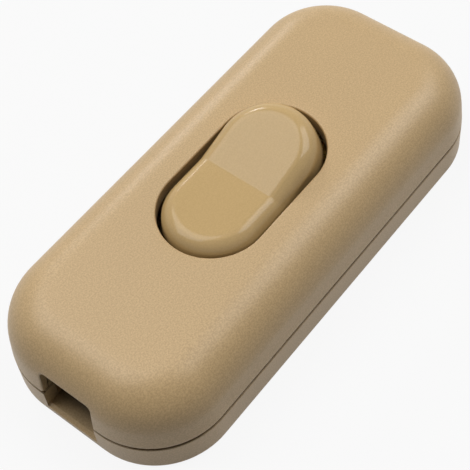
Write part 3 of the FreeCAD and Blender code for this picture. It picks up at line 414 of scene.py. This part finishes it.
def cover_rows(sizes):
    """The upper shell's closed section, carried round the outline.

    It climbs the outer side and roll, crosses the flat top to the opening, goes down through the top,
    back under the ceiling and the inner roll, down to the rebate and round to where it started. In the
    columns of a cord entry, what would lie below the entry's edge is lifted onto that edge.
    """
    outline = Outline(sizes)
    base, edge, wall = sizes.parting, outline.edge, sizes.wall
    ceiling, middle, lean = TOP - wall, TOP - sizes.roll, math.sin(sizes.draft)

    def skin(height):
        """The outer side at a height, less what its two rounded edges take away."""
        radius = shell_radius(sizes, height)
        y = outline.core[:, 1] + outline.normal[:, 1] * radius
        radius = radius - rounded_away(sizes.lower_edge, height - base)
        return outline.ring(radius - rounded_away(sizes.entry_edge, entry_distance(sizes, y, height)), height)

    swing = np.linspace(sizes.draft, QUARTER, SECTION_STEPS["roll"])
    rows = []
    for share in ROUNDING:
        plain = base + sizes.lower_edge * share
        rows.append(skin(np.where(edge > 0.0, edge + sizes.entry_edge * share, plain)))
    side = np.linspace(base + sizes.lower_edge, middle + sizes.roll * lean, SECTION_STEPS["side"])[1:-1]
    for height in np.concatenate([side, middle + sizes.roll * np.sin(swing)]):
        rows.append(skin(np.maximum(height, np.where(edge > 0.0, edge + sizes.entry_edge, 0.0))))
    straight = (sizes.opening_length - sizes.opening_width) / 2
    half = sizes.opening_width / 2
    crown = rows[-1]
    rim = opening_ring(crown[:, :2], straight, half + sizes.opening_edge, TOP)
    rows += between(crown, rim, SECTION_STEPS["top"])[1:]
    for turn in np.linspace(0.0, QUARTER, SECTION_STEPS["opening edge"])[1:]:
        away = sizes.opening_edge * (1.0 - math.sin(turn))
        drop = sizes.opening_edge * (1.0 - math.cos(turn))
        rows.append(opening_ring(rim[:, :2], straight, half + away, TOP - drop))
    for height in np.linspace(TOP - sizes.opening_edge, ceiling, SECTION_STEPS["opening wall"])[1:]:
        rows.append(opening_ring(rim[:, :2], straight, half, height))
    under = outline.ring(shell_radius(sizes, ceiling, wall), ceiling)
    rows += between(rows[-1], under, SECTION_STEPS["ceiling"])[1:-1]
    shelf, inner_roll = base + sizes.lip, sizes.roll - wall
    arc = middle + inner_roll * np.sin(swing[::-2])
    low = np.linspace(middle + inner_roll * lean, shelf, SECTION_STEPS["inner side"])[1:]
    for height in np.concatenate([arc, low]):
        lifted = np.maximum(height, edge)
        rows.append(outline.ring(shell_radius(sizes, lifted, wall), lifted))
    # the rebate, and in the columns of an entry two steps from its back to its mouth
    mouth, back = shell_radius(sizes, edge) - sizes.entry_edge, shell_radius(sizes, edge, wall)
    for share, height in ((1 / 3, shelf), (2 / 3, base)):
        plain = outline.ring(sizes.corner - sizes.rebate, height)
        tunnel = outline.ring(back * (1.0 - share) + mouth * share, edge)
        rows.append(np.where(edge[:, None] > 0.0, tunnel, plain))
    return np.stack(rows)


def ear_grids(sizes):
    """The two ears that carry the rocker's stubs: plates between a slotted bearing and a square outline.

    Both outlines start at the foot beside the slot, climb over the bearing and come down again, with as
    many points each, and the plate is what lies between them, closed by a face at either foot.
    """
    pivot = settings().rocker.pivot
    root = TOP - sizes.wall + SUNK
    reach, bearing, mouth = sizes.ear_reach, sizes.bearing, sizes.ear_mouth
    foot = pivot - reach
    start = math.acos(mouth / bearing)
    turn = np.linspace(-start, math.pi + start, EAR_STEPS)
    hole_x = np.concatenate([[mouth], bearing * np.cos(turn), [-mouth]])
    hole_z = np.concatenate([[foot], pivot + bearing * np.sin(turn), [foot]])
    place = np.linspace(0.0, 3.0, len(hole_x))
    plate_x = np.interp(place, (0, 1, 2, 3), (reach, reach, -reach, -reach))
    plate_z = np.interp(place, (0, 1, 2, 3), (foot, root, root, foot))
    inner = sizes.opening_width / 2 + sizes.ear_gap
    outer = inner + sizes.ear_wall
    grids = []
    for side in (1.0, -1.0):
        ear = np.stack([joined(x, side * y, z) for x, z, y in (
            (hole_x, hole_z, inner), (plate_x, plate_z, inner),
            (plate_x, plate_z, outer), (hole_x, hole_z, outer))])
        grids.append((ear, True, False))
        for foot_corners in (ear[:, 0], ear[:, -1]):
            grids.append((foot_corners[[0, 1, 3, 2]].reshape(2, 2, 3), False, False))
    return grids


def boss_grids(sizes):
    """Bosses for the case screws: a tube with a blind pilot hole, sunk into the ceiling."""
    root = TOP - sizes.wall + SUNK
    low, high, pilot = sizes.boss_low, sizes.pilot_top, sizes.pilot
    profile = [(0.0, root), (sizes.boss, root), (sizes.boss, low), (pilot, low), (pilot, high), (0.0, high)]
    x, y = sizes.boss_x, sizes.boss_y
    return [(lathe(profile, centre), False, True) for centre in ((-x, y), (x, -y))]


class RockerForm:
    """The rocker in its own frame: its axis is Y, its top faces +Z and its ends lie at +X and -X.

    Its plan is a stadium, turned about its short axis into a wheel: at a width y the wheel's radius is
    straight + sqrt(half_width^2 - y^2). A ball of the rim's radius is rolled along the edge between that
    wheel and the top, and the rim is where it touches. last is the ball's furthest place along a straight
    side, and foot is where that side ends at the skirt.
    """
    top_steps, rim_steps, side_steps, ceiling_steps = 8, 13, 9, 7
    end_steps, valley_steps, slope_steps = 61, 7, 10
    halvings = 40
    grid_digits = 9

    def __init__(self, sizes):
        self.sizes = sizes
        self.straight = sizes.radius - sizes.half_width
        self.slope = math.tan(sizes.slope)
        self.cos = math.cos(sizes.slope)
        self.sin = math.sin(sizes.slope)
        self.arc_middle = sizes.valley + sizes.valley_round / self.cos
        self.last = float(self.ball_at(np.array([self.straight]))[0])
        self.foot = math.sqrt(self.straight ** 2 - sizes.skirt ** 2)

    def top(self, x, sunk=0.0):
        """Height of the top, or of the surface sunk below it: two slopes joined by an arc."""
        reach = self.sizes.valley_round + sunk
        plane = self.sizes.valley + np.abs(x) * self.slope - sunk / self.cos
        inside = np.minimum(np.abs(x), reach * self.sin)
        arc = self.arc_middle - np.sqrt(reach ** 2 - inside ** 2)
        return np.where(np.abs(x) > reach * self.sin, plane, arc)

    def top_normal(self, x):
        """Normal of the top at the foot of a ball whose middle is at x."""
        reach = self.sizes.valley_round + self.sizes.rim
        lean = np.clip(-x / reach, -self.sin, self.sin)
        return joined(lean, 0.0, np.sqrt(1.0 - lean ** 2))

    def ball_at(self, radius):
        """Where a ball's middle lies at a distance from the axis, by halving the interval."""
        low, high = np.zeros_like(radius), radius.copy()
        for _ in range(self.halvings):
            middle = (low + high) / 2
            outside = middle ** 2 + self.top(middle, self.sizes.rim) ** 2 > radius ** 2
            low, high = np.where(outside, low, middle), np.where(outside, middle, high)
        return (low + high) / 2

    def lower_edge(self, x):
        """The lower edge: the skirt, and a deeper middle with sloping ends."""
        sizes = self.sizes
        return np.interp(np.abs(x), [sizes.hub_half - sizes.wall, sizes.hub_half],
                         [-sizes.hub_drop, sizes.skirt])

    def strips(self):
        """Columns in four strips, round an end and along a side, twice.

        Each is its side's sign, how far round the end its columns lie (none along a side), the middles
        of the rim's ball, and the normals of the wheel or side there.
        """
        sizes = self.sizes
        rim, inset = sizes.rim, sizes.half_width - sizes.rim
        bend = (sizes.valley_round + rim) * self.sin
        hub = np.array([sizes.hub_half - sizes.wall, sizes.hub_half]) * self.last / self.foot
        right = np.unique(np.round(np.concatenate([
            np.linspace(0.0, bend, self.valley_steps), np.linspace(bend, self.last, self.slope_steps), hub]),
            self.grid_digits))
        along = np.concatenate([right[::-1], -right[1:]])
        swing = np.linspace(-QUARTER, QUARTER, self.end_steps)[1:-1]
        for side in (1.0, -1.0):
            out = self.straight + inset * np.cos(swing)
            x = side * self.ball_at(out)
            z, lean = self.top(x, rim), np.cos(swing)
            normal = joined(lean * x / out, side * np.sin(swing), lean * z / out)
            yield side, swing, joined(x, side * inset * np.sin(swing), z), normal
            x = side * along
            yield side, None, joined(x, side * inset, self.top(x, rim)), np.array([(0.0, side, 0.0)])

    def panel(self, side, swing, ball, wheel_normal):
        """One strip's rows, from the spine of the top out, down and back to the inner ceiling's spine."""
        sizes = self.sizes
        rim, inside = sizes.rim, sizes.half_width - sizes.wall
        ball_x = ball[:, 0]
        top_normal = self.top_normal(ball_x)
        contact = ball + rim * top_normal
        if swing is None:
            spine_x = contact[:, 0]
            inner_spine = inner_x = ball_x * self.straight / self.last
            inner_y = side * inside
        else:
            spine_x = side * (self.last - rim * self.sin)
            inner_spine = side * self.straight
            inner_x = side * (self.straight + inside * np.cos(swing))
            inner_y = side * inside * np.sin(swing)
        rows = []
        # the top, from its spine out to the rim
        for plan in between(joined(spine_x, 0.0), contact[:, :2], self.top_steps)[:-1]:
            rows.append(joined(*plan.T, self.top(plan[:, 0])))
        # the rim, swung about the ball's middle from the top's normal to the wheel's
        wide = np.arccos(np.clip((top_normal * wheel_normal).sum(axis=1), -1.0, 1.0))[:, None]
        for share in np.linspace(0.0, 1.0, self.rim_steps):
            aim = (np.sin((1.0 - share) * wide) * top_normal
                   + np.sin(share * wide) * wheel_normal) / np.sin(wide)
            chord = np.cos(wide / 2) / np.cos((share - 0.5) * wide)
            rows.append(ball + rim * aim * (1.0 - sizes.rim_flat * (1.0 - chord)))
        # the side, down to the lower edge: straight along a side, and along the wheel at an end
        touch = ball + rim * wheel_normal
        x, y, z = touch.T
        if swing is None:
            low_x = ball_x * self.foot / self.last
            rows += between(touch, joined(low_x, y, self.lower_edge(low_x)), self.side_steps)[1:]
        else:
            wheel = np.hypot(x, z)
            for aim in between(np.arctan2(z, side * x), np.arcsin(sizes.skirt / wheel), self.side_steps)[1:]:
                rows.append(joined(side * wheel * np.cos(aim), y, wheel * np.sin(aim)))
        # the inner walls and ceiling
        ceiling = sizes.valley - sizes.top_wall
        rows.append(joined(inner_x, inner_y, self.lower_edge(inner_x)))
        rows += between(joined(inner_x, inner_y, ceiling), joined(inner_spine, 0.0, ceiling),
                        self.ceiling_steps)
        return np.stack(rows)

    def skin(self):
        """One closed grid: top, rim, sides, lower edge, inner walls and inner ceiling."""
        return np.concatenate([self.panel(*strip) for strip in self.strips()], axis=1)


def rocker_insides(sizes):
    """The stubs it turns on, the tube that guides the plunger, and the webs beside the tube."""
    root = sizes.valley - sizes.top_wall / 2
    bore, tube, low, end = sizes.bore, sizes.tube, -sizes.hub_drop, sizes.bore_end
    stub, tip, bevel = sizes.stub, sizes.half_width + sizes.stub_reach, sizes.stub_bevel
    web, cross = sizes.web, sizes.cross_web
    inside_x = sizes.radius - sizes.wall / 2
    inside_y = sizes.half_width - sizes.wall / 2
    guide = [(0.0, root), (tube, root), (tube, low), (bore, low), (bore, end), (0.0, end)]
    grids = [(lathe(guide, steps=64), False, True)]
    profile = [(0.0, inside_y), (stub, inside_y), (stub, tip - bevel), (stub - bevel, tip), (0.0, tip)]
    upright = lathe(profile)
    for side in (1.0, -1.0):
        lying = joined(upright[..., 0], side * upright[..., 2], upright[..., 1])
        grids.append((lying, False, True))
        start = side * (bore + tube) / 2
        low_x, high_x = sorted((start, side * inside_x))
        grids.append((block((low_x, -web, sizes.skirt), (high_x, web, root)), False, True))
        low_y, high_y = sorted((start, side * inside_y))
        grids.append((block((-cross, low_y, -stub), (cross, high_y, root)), False, True))
    return grids


class NodeBuilder:
    """A shorthand for a node tree: each call adds a node and sets or links its inputs."""

    def __init__(self, tree):
        self.tree = tree

    def add(self, kind, inputs=None, **values):
        """A node of a kind, with its inputs fed and its own values set."""
        node = self.tree.nodes.new(kind)
        for name, value in values.items():
            setattr(node, name, value)
        self.feed(node.inputs, inputs or {})
        return node

    def feed(self, sockets, values):
        """Sets sockets, by name or number, to values or to other nodes' sockets."""
        for name, value in values.items():
            if isinstance(value, bpy.types.NodeSocket):
                self.tree.links.new(value, sockets[name])
            else:
                sockets[name].default_value = value

    def math(self, kind, first, second=0.0):
        """A Math node on two values or sockets."""
        return self.add("ShaderNodeMath", {0: first, 1: second}, operation=kind).outputs[0]

    def place(self):
        """The object's own coordinates."""
        return self.add("ShaderNodeTexCoord").outputs["Object"]

    def noise(self, place, size, detail, roughness):
        """A noise over a place, its grain as large as a size."""
        return self.add("ShaderNodeTexNoise", {"Vector": place, "Scale": self.math("DIVIDE", 1.0, size),
                                               "Detail": detail, "Roughness": roughness}).outputs[0]

    def spread(self, noise, width):
        """A noise about its middle, times a width."""
        return self.math("MULTIPLY", self.math("SUBTRACT", noise, 0.5), width)

    def mixed(self, share, first, second):
        """A colour between two others."""
        sockets = {MIX_SHARE: share, MIX_FIRST: first, MIX_SECOND: second}
        return self.add("ShaderNodeMix", sockets, data_type="RGBA").outputs[MIX_RESULT]

    def scaled(self, tone, times):
        """A colour times a number."""
        return self.add("ShaderNodeVectorMath", {0: tone, "Scale": times}, operation="SCALE").outputs[0]

    def with_painted_shade(self, tone, mask, shade):
        """A colour made darker by a share of painted shade where a mask is one."""
        return self.scaled(tone, self.math("SUBTRACT", 1.0, self.math("MULTIPLY", mask, shade)))

    def shared(self, name, values):
        """The outputs of a shared group placed in this tree, its sockets set by name."""
        return self.add("ShaderNodeGroup", values, node_tree=shared_group(name)).outputs


def fleck_group(build, given):
    """Flecked plastic: two colours mixed by a fine noise, and a broad cloudiness over both."""
    place = build.place()
    fine = build.noise(place, given["Fleck Size"], detail=2.0, roughness=0.6)
    spark = build.add("ShaderNodeMapRange", {"Value": fine, "From Min": 0.34, "From Max": 0.68},
                      interpolation_type="SMOOTHSTEP").outputs[0]
    cloud = build.noise(place, given["Cloud Size"], detail=3.0, roughness=0.5)
    shade = build.math("ADD", build.spread(cloud, given["Cloud Depth"]), 1.0)
    spread = build.spread(fine, given["Roughness Spread"])
    return {"Color": build.scaled(build.mixed(spark, given["Ground"], given["Fleck"]), shade),
            "Roughness": build.math("SUBTRACT", given["Roughness"], spread)}


def painted_gap_group(build, given):
    """Painted shade of a narrow gap: a colour made darker within a band of heights, where shade falls."""
    height = build.add("ShaderNodeSeparateXYZ", {0: build.place()}).outputs["Z"]
    inside = build.add("ShaderNodeMath", {0: height, 1: given["Middle"], 2: given["Half Height"]},
                       operation="COMPARE").outputs[0]
    return {"Color": build.with_painted_shade(given["Color"], inside, given["Shade"])}


def painted_hollow_group(build, given):
    """Painted shade of a hollow: a colour made darker the further in from its mouths at -X and +X."""
    x, y, z = build.add("ShaderNodeSeparateXYZ", {0: build.place()}).outputs
    beside = build.math("LESS_THAN", build.math("ABSOLUTE", y), given["Half Width"])
    level = build.math("MULTIPLY", build.math("GREATER_THAN", z, given["Low"]),
                       build.math("LESS_THAN", z, given["High"]))
    deep = build.add("ShaderNodeMapRange", {"Value": build.math("ABSOLUTE", x), "From Min": given["Mouth"],
                                            "From Max": given["Floor"]}).outputs[0]
    inside = build.math("MULTIPLY", build.math("MULTIPLY", beside, level), deep)
    return {"Color": build.with_painted_shade(given["Color"], inside, given["Shade"])}


def dimple_group(build, given):
    """Fine dimples of a moulded skin over broader waves, as a height."""
    place = build.place()
    fine = build.noise(place, given["Dimple Size"], detail=1.5, roughness=0.5)
    wave = build.noise(place, given["Wave Size"], detail=1.0, roughness=0.4)
    return {"Height": build.math("ADD", fine, build.math("MULTIPLY", wave, given["Wave Share"]))}


def drawn_group(build, given):
    """Drawn or rolled metal: streaks along X that vary the colour, the roughness and the height."""
    drawn = build.add("ShaderNodeMapping", {"Vector": build.place(), "Scale": (0.08, 1.0, 1.0)}).outputs[0]
    streak = build.noise(drawn, given["Streak Size"], detail=3.0, roughness=0.6)
    spread = build.spread(streak, given["Roughness Spread"])
    return {"Color": build.mixed(streak, given["Ground"], given["Worn"]),
            "Roughness": build.math("ADD", given["Roughness"], spread), "Height": streak}


# the shared groups: what makes each, and its inputs with their defaults
GROUPS = {
    "flecked_plastic": (fleck_group, {
        "Ground": GREY, "Fleck": GREY, "Fleck Size": 0.0002,
        "Cloud Size": 0.012, "Cloud Depth": 0.05, "Roughness": 0.4, "Roughness Spread": 0.1}),
    # painted shade: the next two groups darken a colour where shade falls
    "painted_gap_shade": (painted_gap_group, {"Color": GREY, "Middle": 0.0, "Half Height": 0.0, "Shade": 0.5}),
    "painted_hollow_shade": (painted_hollow_group, {
        "Color": GREY, "Half Width": 0.0, "Low": 0.0, "High": 0.0, "Mouth": 0.0, "Floor": 0.0, "Shade": 0.5}),
    "moulded_dimples": (dimple_group, {"Dimple Size": 0.0004, "Wave Size": 0.006, "Wave Share": 0.3}),
    "drawn_metal": (drawn_group, {
        "Ground": GREY, "Worn": GREY, "Streak Size": 0.0003, "Roughness": 0.3, "Roughness Spread": 0.2}),
}


def shared_group(name):
    """A shared shader node group, built the first time it is asked for."""
    found = bpy.data.node_groups.get(name)
    if found:
        return found
    make, defaults = GROUPS[name]
    tree = bpy.data.node_groups.new(name, "ShaderNodeTree")
    build = NodeBuilder(tree)

    def socket(label, way, is_colour):
        """A new input or output of the group."""
        kind = "NodeSocketColor" if is_colour else "NodeSocketFloat"
        return tree.interface.new_socket(name=label, in_out=way, socket_type=kind)

    for label, default in defaults.items():
        socket(label, "INPUT", isinstance(default, tuple)).default_value = default
    results = make(build, build.add("NodeGroupInput").outputs)
    for label in results:
        socket(label, "OUTPUT", label == "Color")
    build.add("NodeGroupOutput", results)
    return tree


def opaque(rgb, brighter=1.0):
    """A colour with full alpha, made brighter or darker by a factor."""
    return (*(min(1.0, value * brighter) for value in rgb), 1.0)


def surfaced(name, shader, coat, skin, depth, painted_shades=()):
    """A material fed by shared groups, each given as its name and the values of its sockets.

    The coat gives colour and roughness, the skin gives the bump's height, or the coat where there is no
    skin, and the painted shades darken the colour in turn. Plain values go on the Principled shader's
    sockets.
    """
    material = bpy.data.materials.get(name)
    if material:
        return material
    material = bpy.data.materials.new(name)
    material.use_nodes = True
    build = NodeBuilder(material.node_tree)
    coat = build.shared(*coat)
    height = (build.shared(*skin) if skin else coat)["Height"]
    bump = build.add("ShaderNodeBump", {"Height": height, "Strength": 1.0, "Distance": depth}).outputs[0]
    tone = coat["Color"]
    for group, values in painted_shades:
        tone = build.shared(group, {"Color": tone, **values})["Color"]
    build.feed(material.node_tree.nodes["Principled BSDF"].inputs,
               {**shader, "Base Color": tone, "Roughness": coat["Roughness"], "Normal": bump})
    return material


def plastic(name, ground, fleck, cloud, rough, peel, depth, waves, shader, painted_shades=()):
    """Moulded plastic: flecks for colour and roughness, dimples for its skin, and painted shade in its groove
    and hollows.
    """
    looks = settings().finishes
    flecks = {"Ground": ground, "Fleck": opaque(fleck), "Fleck Size": looks.grain, "Cloud Depth": cloud,
              "Roughness": rough[0], "Roughness Spread": rough[1]}
    dimples = {"Dimple Size": looks.orange_peel * peel, "Wave Share": waves}
    return surfaced(name, shader, ("flecked_plastic", flecks), ("moulded_dimples", dimples), depth, painted_shades)


def painted_recess_shades():
    """Painted shade for the parting groove, the hollows behind the cord entries and the walls of the rocker's
    well.
    """
    looks, cover = settings().finishes, settings().cover
    # painted shade in a band of heights along the parting groove
    groove = {"Middle": looks.gap_height, "Half Height": looks.gap_half, "Shade": looks.painted_gap_shade}
    # painted shade, deeper further in, in the hollows behind the cord entries
    hollow = {"Half Width": cover.entry_width / 2 + HOLLOW_EDGE, "Low": HOUSING_LOW.z + HOLLOW_EDGE,
              "High": cover.entry_top + HOLLOW_EDGE, "Mouth": HOUSING_HIGH.x,
              "Floor": HOUSING_HIGH.x - looks.hollow_depth, "Shade": looks.painted_hollow_shade}
    # painted shade on the walls of the opening round the rocker
    well_end = cover.opening_length / 2 + HOLLOW_EDGE
    well = {"Half Width": cover.opening_width / 2 + HOLLOW_EDGE, "Low": cover.entry_top,
            "High": TOP - cover.opening_edge, "Mouth": well_end + HOLLOW_EDGE, "Floor": well_end,
            "Shade": looks.painted_well_shade}
    return (("painted_gap_shade", groove), ("painted_hollow_shade", hollow), ("painted_hollow_shade", well))


def finish(slot):
    """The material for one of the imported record's material slots."""
    looks = settings().finishes
    if slot == "satin_gold":
        # the satin gold carries the painted shade of the groove and hollows
        return plastic("satin_gold_plastic", opaque(looks.gold), looks.gold_fleck, cloud=0.08,
                       rough=(0.42, 0.10), peel=1, depth=0.000008, waves=0.6, shader={"IOR": 1.5},
                       painted_shades=painted_recess_shades())
    if slot == "gloss_gold":
        return plastic("gloss_gold_plastic", opaque(looks.gloss_gold), looks.gloss_fleck, cloud=0.06,
                       rough=(0.11, 0.04), peel=2, depth=0.000002, waves=0.8,
                       shader={"IOR": 1.5, "Specular IOR Level": 0.25})
    if slot == "white_plastic":
        return plastic("natural_plastic", opaque(looks.natural, 0.94), looks.natural, cloud=0.06,
                       rough=(0.42, 0.10), peel=1, depth=0.000006, waves=0.4,
                       shader={"Subsurface Weight": 0.05})
    # drawn metals: name, colour, its factors beside and in a streak, streak, roughness and spread, depth
    name, tone, beside, inside, streak, rough, depth = {
        "brass": ("rolled_brass", looks.brass, 1.0, 1.12, 0.0003, (0.28, 0.18), 0.000003),
        "silver": ("contact_silver", looks.silver, 1.0, 0.9, 0.0002, (0.22, 0.15), 0.000003),
        "spring_steel": ("spring_wire", looks.steel, 0.85, 1.0, 0.0002, (0.25, 0.12), 0.000002),
    }.get(slot, ("zinc_plated_steel", looks.steel, 1.0, 1.2, 0.0004, (0.30, 0.2), 0.000003))
    streaks = {"Ground": opaque(tone, beside), "Worn": opaque(tone, inside), "Streak Size": streak,
               "Roughness": rough[0], "Roughness Spread": rough[1]}
    return surfaced(name, {"Metallic": 1.0}, ("drawn_metal", streaks), None, depth)


class SWITCH_OT_cover(bpy.types.Operator):
    """The domed upper shell"""
    bl_idname = "cord_switch.cover"
    bl_label = "Upper Shell"

    def execute(self, context):
        sizes = settings().cover
        grids = [(cover_rows(sizes), True, True)] + boss_grids(sizes) + ear_grids(sizes)
        stand_in("domed_cover", close_mesh(lay_mesh("domed_cover", grids)), "upper_shell")
        return {"FINISHED"}


class SWITCH_OT_rocker(bpy.types.Operator):
    """The rocker, pressed in at its -X end"""
    bl_idname = "cord_switch.rocker"
    bl_label = "Rocker"

    def execute(self, context):
        sizes = settings().rocker
        grids = [(RockerForm(sizes).skin(), False, True)] + rocker_insides(sizes)
        placed = [(turned(grid, sizes.pivot, sizes.tilt), rows, columns) for grid, rows, columns in grids]
        stand_in("concave_rocker", close_mesh(lay_mesh("concave_rocker", placed)), "rocker")
        return {"FINISHED"}


class SWITCH_OT_carried(bpy.types.Operator):
    """Every other piece keeps its CAD form, with its faces joined, smoothed and finished"""
    bl_idname = "cord_switch.carried"
    bl_label = "Tray and Inner Pieces"

    def execute(self, context):
        for node, source in frame["nodes"].items():
            if node in ("upper_shell", "rocker"):
                continue
            piece = stand_in("finished_" + node, close_mesh(source.data.copy(), from_cad=True), node)
            if node == "plunger_spring":
                let_spring_give(piece)
            else:
                piece.modifiers.new("flat_faces_shade_flat", "WEIGHTED_NORMAL").keep_sharp = True
        return {"FINISHED"}


def looking_in(turn, rise, distance, roll=0.0, height=0.0):
    """Places what looks along its own -Z: backed off, rolled, raised, swung round +Z and lifted."""
    return (Matrix.Translation((0.0, 0.0, height)) @ Matrix.Rotation(turn, 4, "Z")
            @ Matrix.Rotation(QUARTER - rise, 4, "X") @ Matrix.Rotation(roll, 4, "Z")
            @ Matrix.Translation((0.0, 0.0, distance)))


def add_lamp(name, turn, rise, width, height, power):
    """A soft rectangular lamp that looks at the switch."""
    lamp = bpy.data.lights.new(name, "AREA")
    lamp.shape = "RECTANGLE"
    lamp.size, lamp.size_y = width, height
    lamp.energy = power
    add_object(name, lamp).matrix_world = looking_in(math.radians(turn), math.radians(rise), LAMP_DISTANCE)


def seen_rays(build):
    """One for the rays that see the background: from the camera, in reflections and through glass."""
    ray = build.add("ShaderNodeLightPath").outputs
    either = build.math("MAXIMUM", ray["Is Camera Ray"], ray["Is Transmission Ray"])
    return build.math("MAXIMUM", either, ray["Is Glossy Ray"])


def add_floor(stage):
    """A pale floor that keeps the switch's shadow and looks white to the camera."""
    half = stage.floor_half
    mesh = bpy.data.meshes.new("floor")
    corners = [(-half, -half, 0), (half, -half, 0), (half, half, 0), (-half, half, 0)]
    mesh.from_pydata(corners, [], [(0, 1, 2, 3)])
    floor = add_object("floor", mesh)
    floor.location.z = -stage.floor_drop
    material = bpy.data.materials.new("pale_floor")
    material.use_nodes = True
    nodes, build = material.node_tree.nodes, NodeBuilder(material.node_tree)
    plain = nodes["Principled BSDF"]
    build.feed(plain.inputs, {"Base Color": opaque(stage.floor), "Roughness": stage.floor_rough})
    glow = build.add("ShaderNodeEmission", {"Color": WHITE})
    white = build.math("MULTIPLY", seen_rays(build), stage.floor_white)
    mix = build.add("ShaderNodeMixShader", {0: white, 1: plain.outputs[0], 2: glow.outputs[0]})
    build.feed(nodes["Material Output"].inputs, {"Surface": mix.outputs[0]})
    mesh.materials.append(material)


def light_world(stage):
    """A white world to the camera and to reflections, and hardly any light from it."""
    world = bpy.data.worlds.new("studio")
    bpy.context.scene.world = world
    world.use_nodes = True
    build = NodeBuilder(world.node_tree)
    strength = build.add("ShaderNodeMapRange", {
        "Value": seen_rays(build), "To Min": stage.world_light, "To Max": stage.world_seen}).outputs[0]
    build.feed(world.node_tree.nodes["Background"].inputs, {"Color": WHITE, "Strength": strength})


def add_camera(stage):
    """The camera of the picture, which looks at the middle of the housing."""
    data = bpy.data.cameras.new("camera")
    data.sensor_width = SENSOR
    data.lens = stage.focal / MILLIMETRE
    data.shift_x, data.shift_y = stage.shift_x, stage.shift_y
    data.clip_start, data.clip_end = CLIP
    camera = add_object("camera", data)
    camera.matrix_world = looking_in(stage.azimuth, stage.elevation, stage.distance, stage.roll, TOP / 2)
    bpy.context.scene.camera = camera


class SWITCH_OT_stage(bpy.types.Operator):
    """Floor, world, lamps and camera"""
    bl_idname = "cord_switch.stage"
    bl_label = "Stage"

    def execute(self, context):
        stage = settings().stage
        context.scene.view_settings.view_transform = "Standard"
        add_camera(stage)
        add_floor(stage)
        light_world(stage)
        for lamp in LAMPS:
            add_lamp(*lamp)
        return {"FINISHED"}


class CordSwitchSettings(bpy.types.PropertyGroup):
    """Everything a user may change."""
    cover: PointerProperty(type=CoverSizes, name="Upper shell", description="Sizes of the upper shell")
    rocker: PointerProperty(type=RockerSizes, name="Rocker", description="Sizes of the rocker")
    finishes: PointerProperty(type=Finishes, name="Finishes", description="Colours and grain")
    stage: PointerProperty(type=StageSettings, name="Stage", description="Floor, lamps and camera")


STEPS = (SWITCH_OT_stage, SWITCH_OT_cover, SWITCH_OT_rocker, SWITCH_OT_carried)


class SWITCH_PT_panel(bpy.types.Panel):
    """Buttons for each step, and the sizes and colours"""
    bl_idname = "SWITCH_PT_panel"
    bl_label = "Cord Switch"
    bl_space_type = "VIEW_3D"
    bl_region_type = "UI"
    bl_category = "Cord Switch"

    def draw(self, context):
        layout = self.layout
        for step in STEPS:
            layout.operator(step.bl_idname)
        for name in ("cover", "rocker", "finishes", "stage"):
            held = getattr(context.scene.cord_switch, name)
            box = layout.box()
            box.label(text=name.capitalize())
            for field in type(held).__annotations__:
                box.prop(held, field)


CLASSES = (CoverSizes, RockerSizes, Finishes, StageSettings, CordSwitchSettings, *STEPS, SWITCH_PT_panel)


def register():
    """Registers the classes and hangs the settings on the scene."""
    for item in CLASSES:
        bpy.utils.register_class(item)
    bpy.types.Scene.cord_switch = PointerProperty(type=CordSwitchSettings)


def unregister():
    """Takes the settings and the classes away again."""
    del bpy.types.Scene.cord_switch
    for item in reversed(CLASSES):
        bpy.utils.unregister_class(item)


def main():
    """Builds the switch step by step."""
    register()
    for step in STEPS:
        getattr(bpy.ops.cord_switch, step.bl_idname.split(".")[1])()
    bpy.context.view_layer.update()


if __name__ == "__main__":
    main()
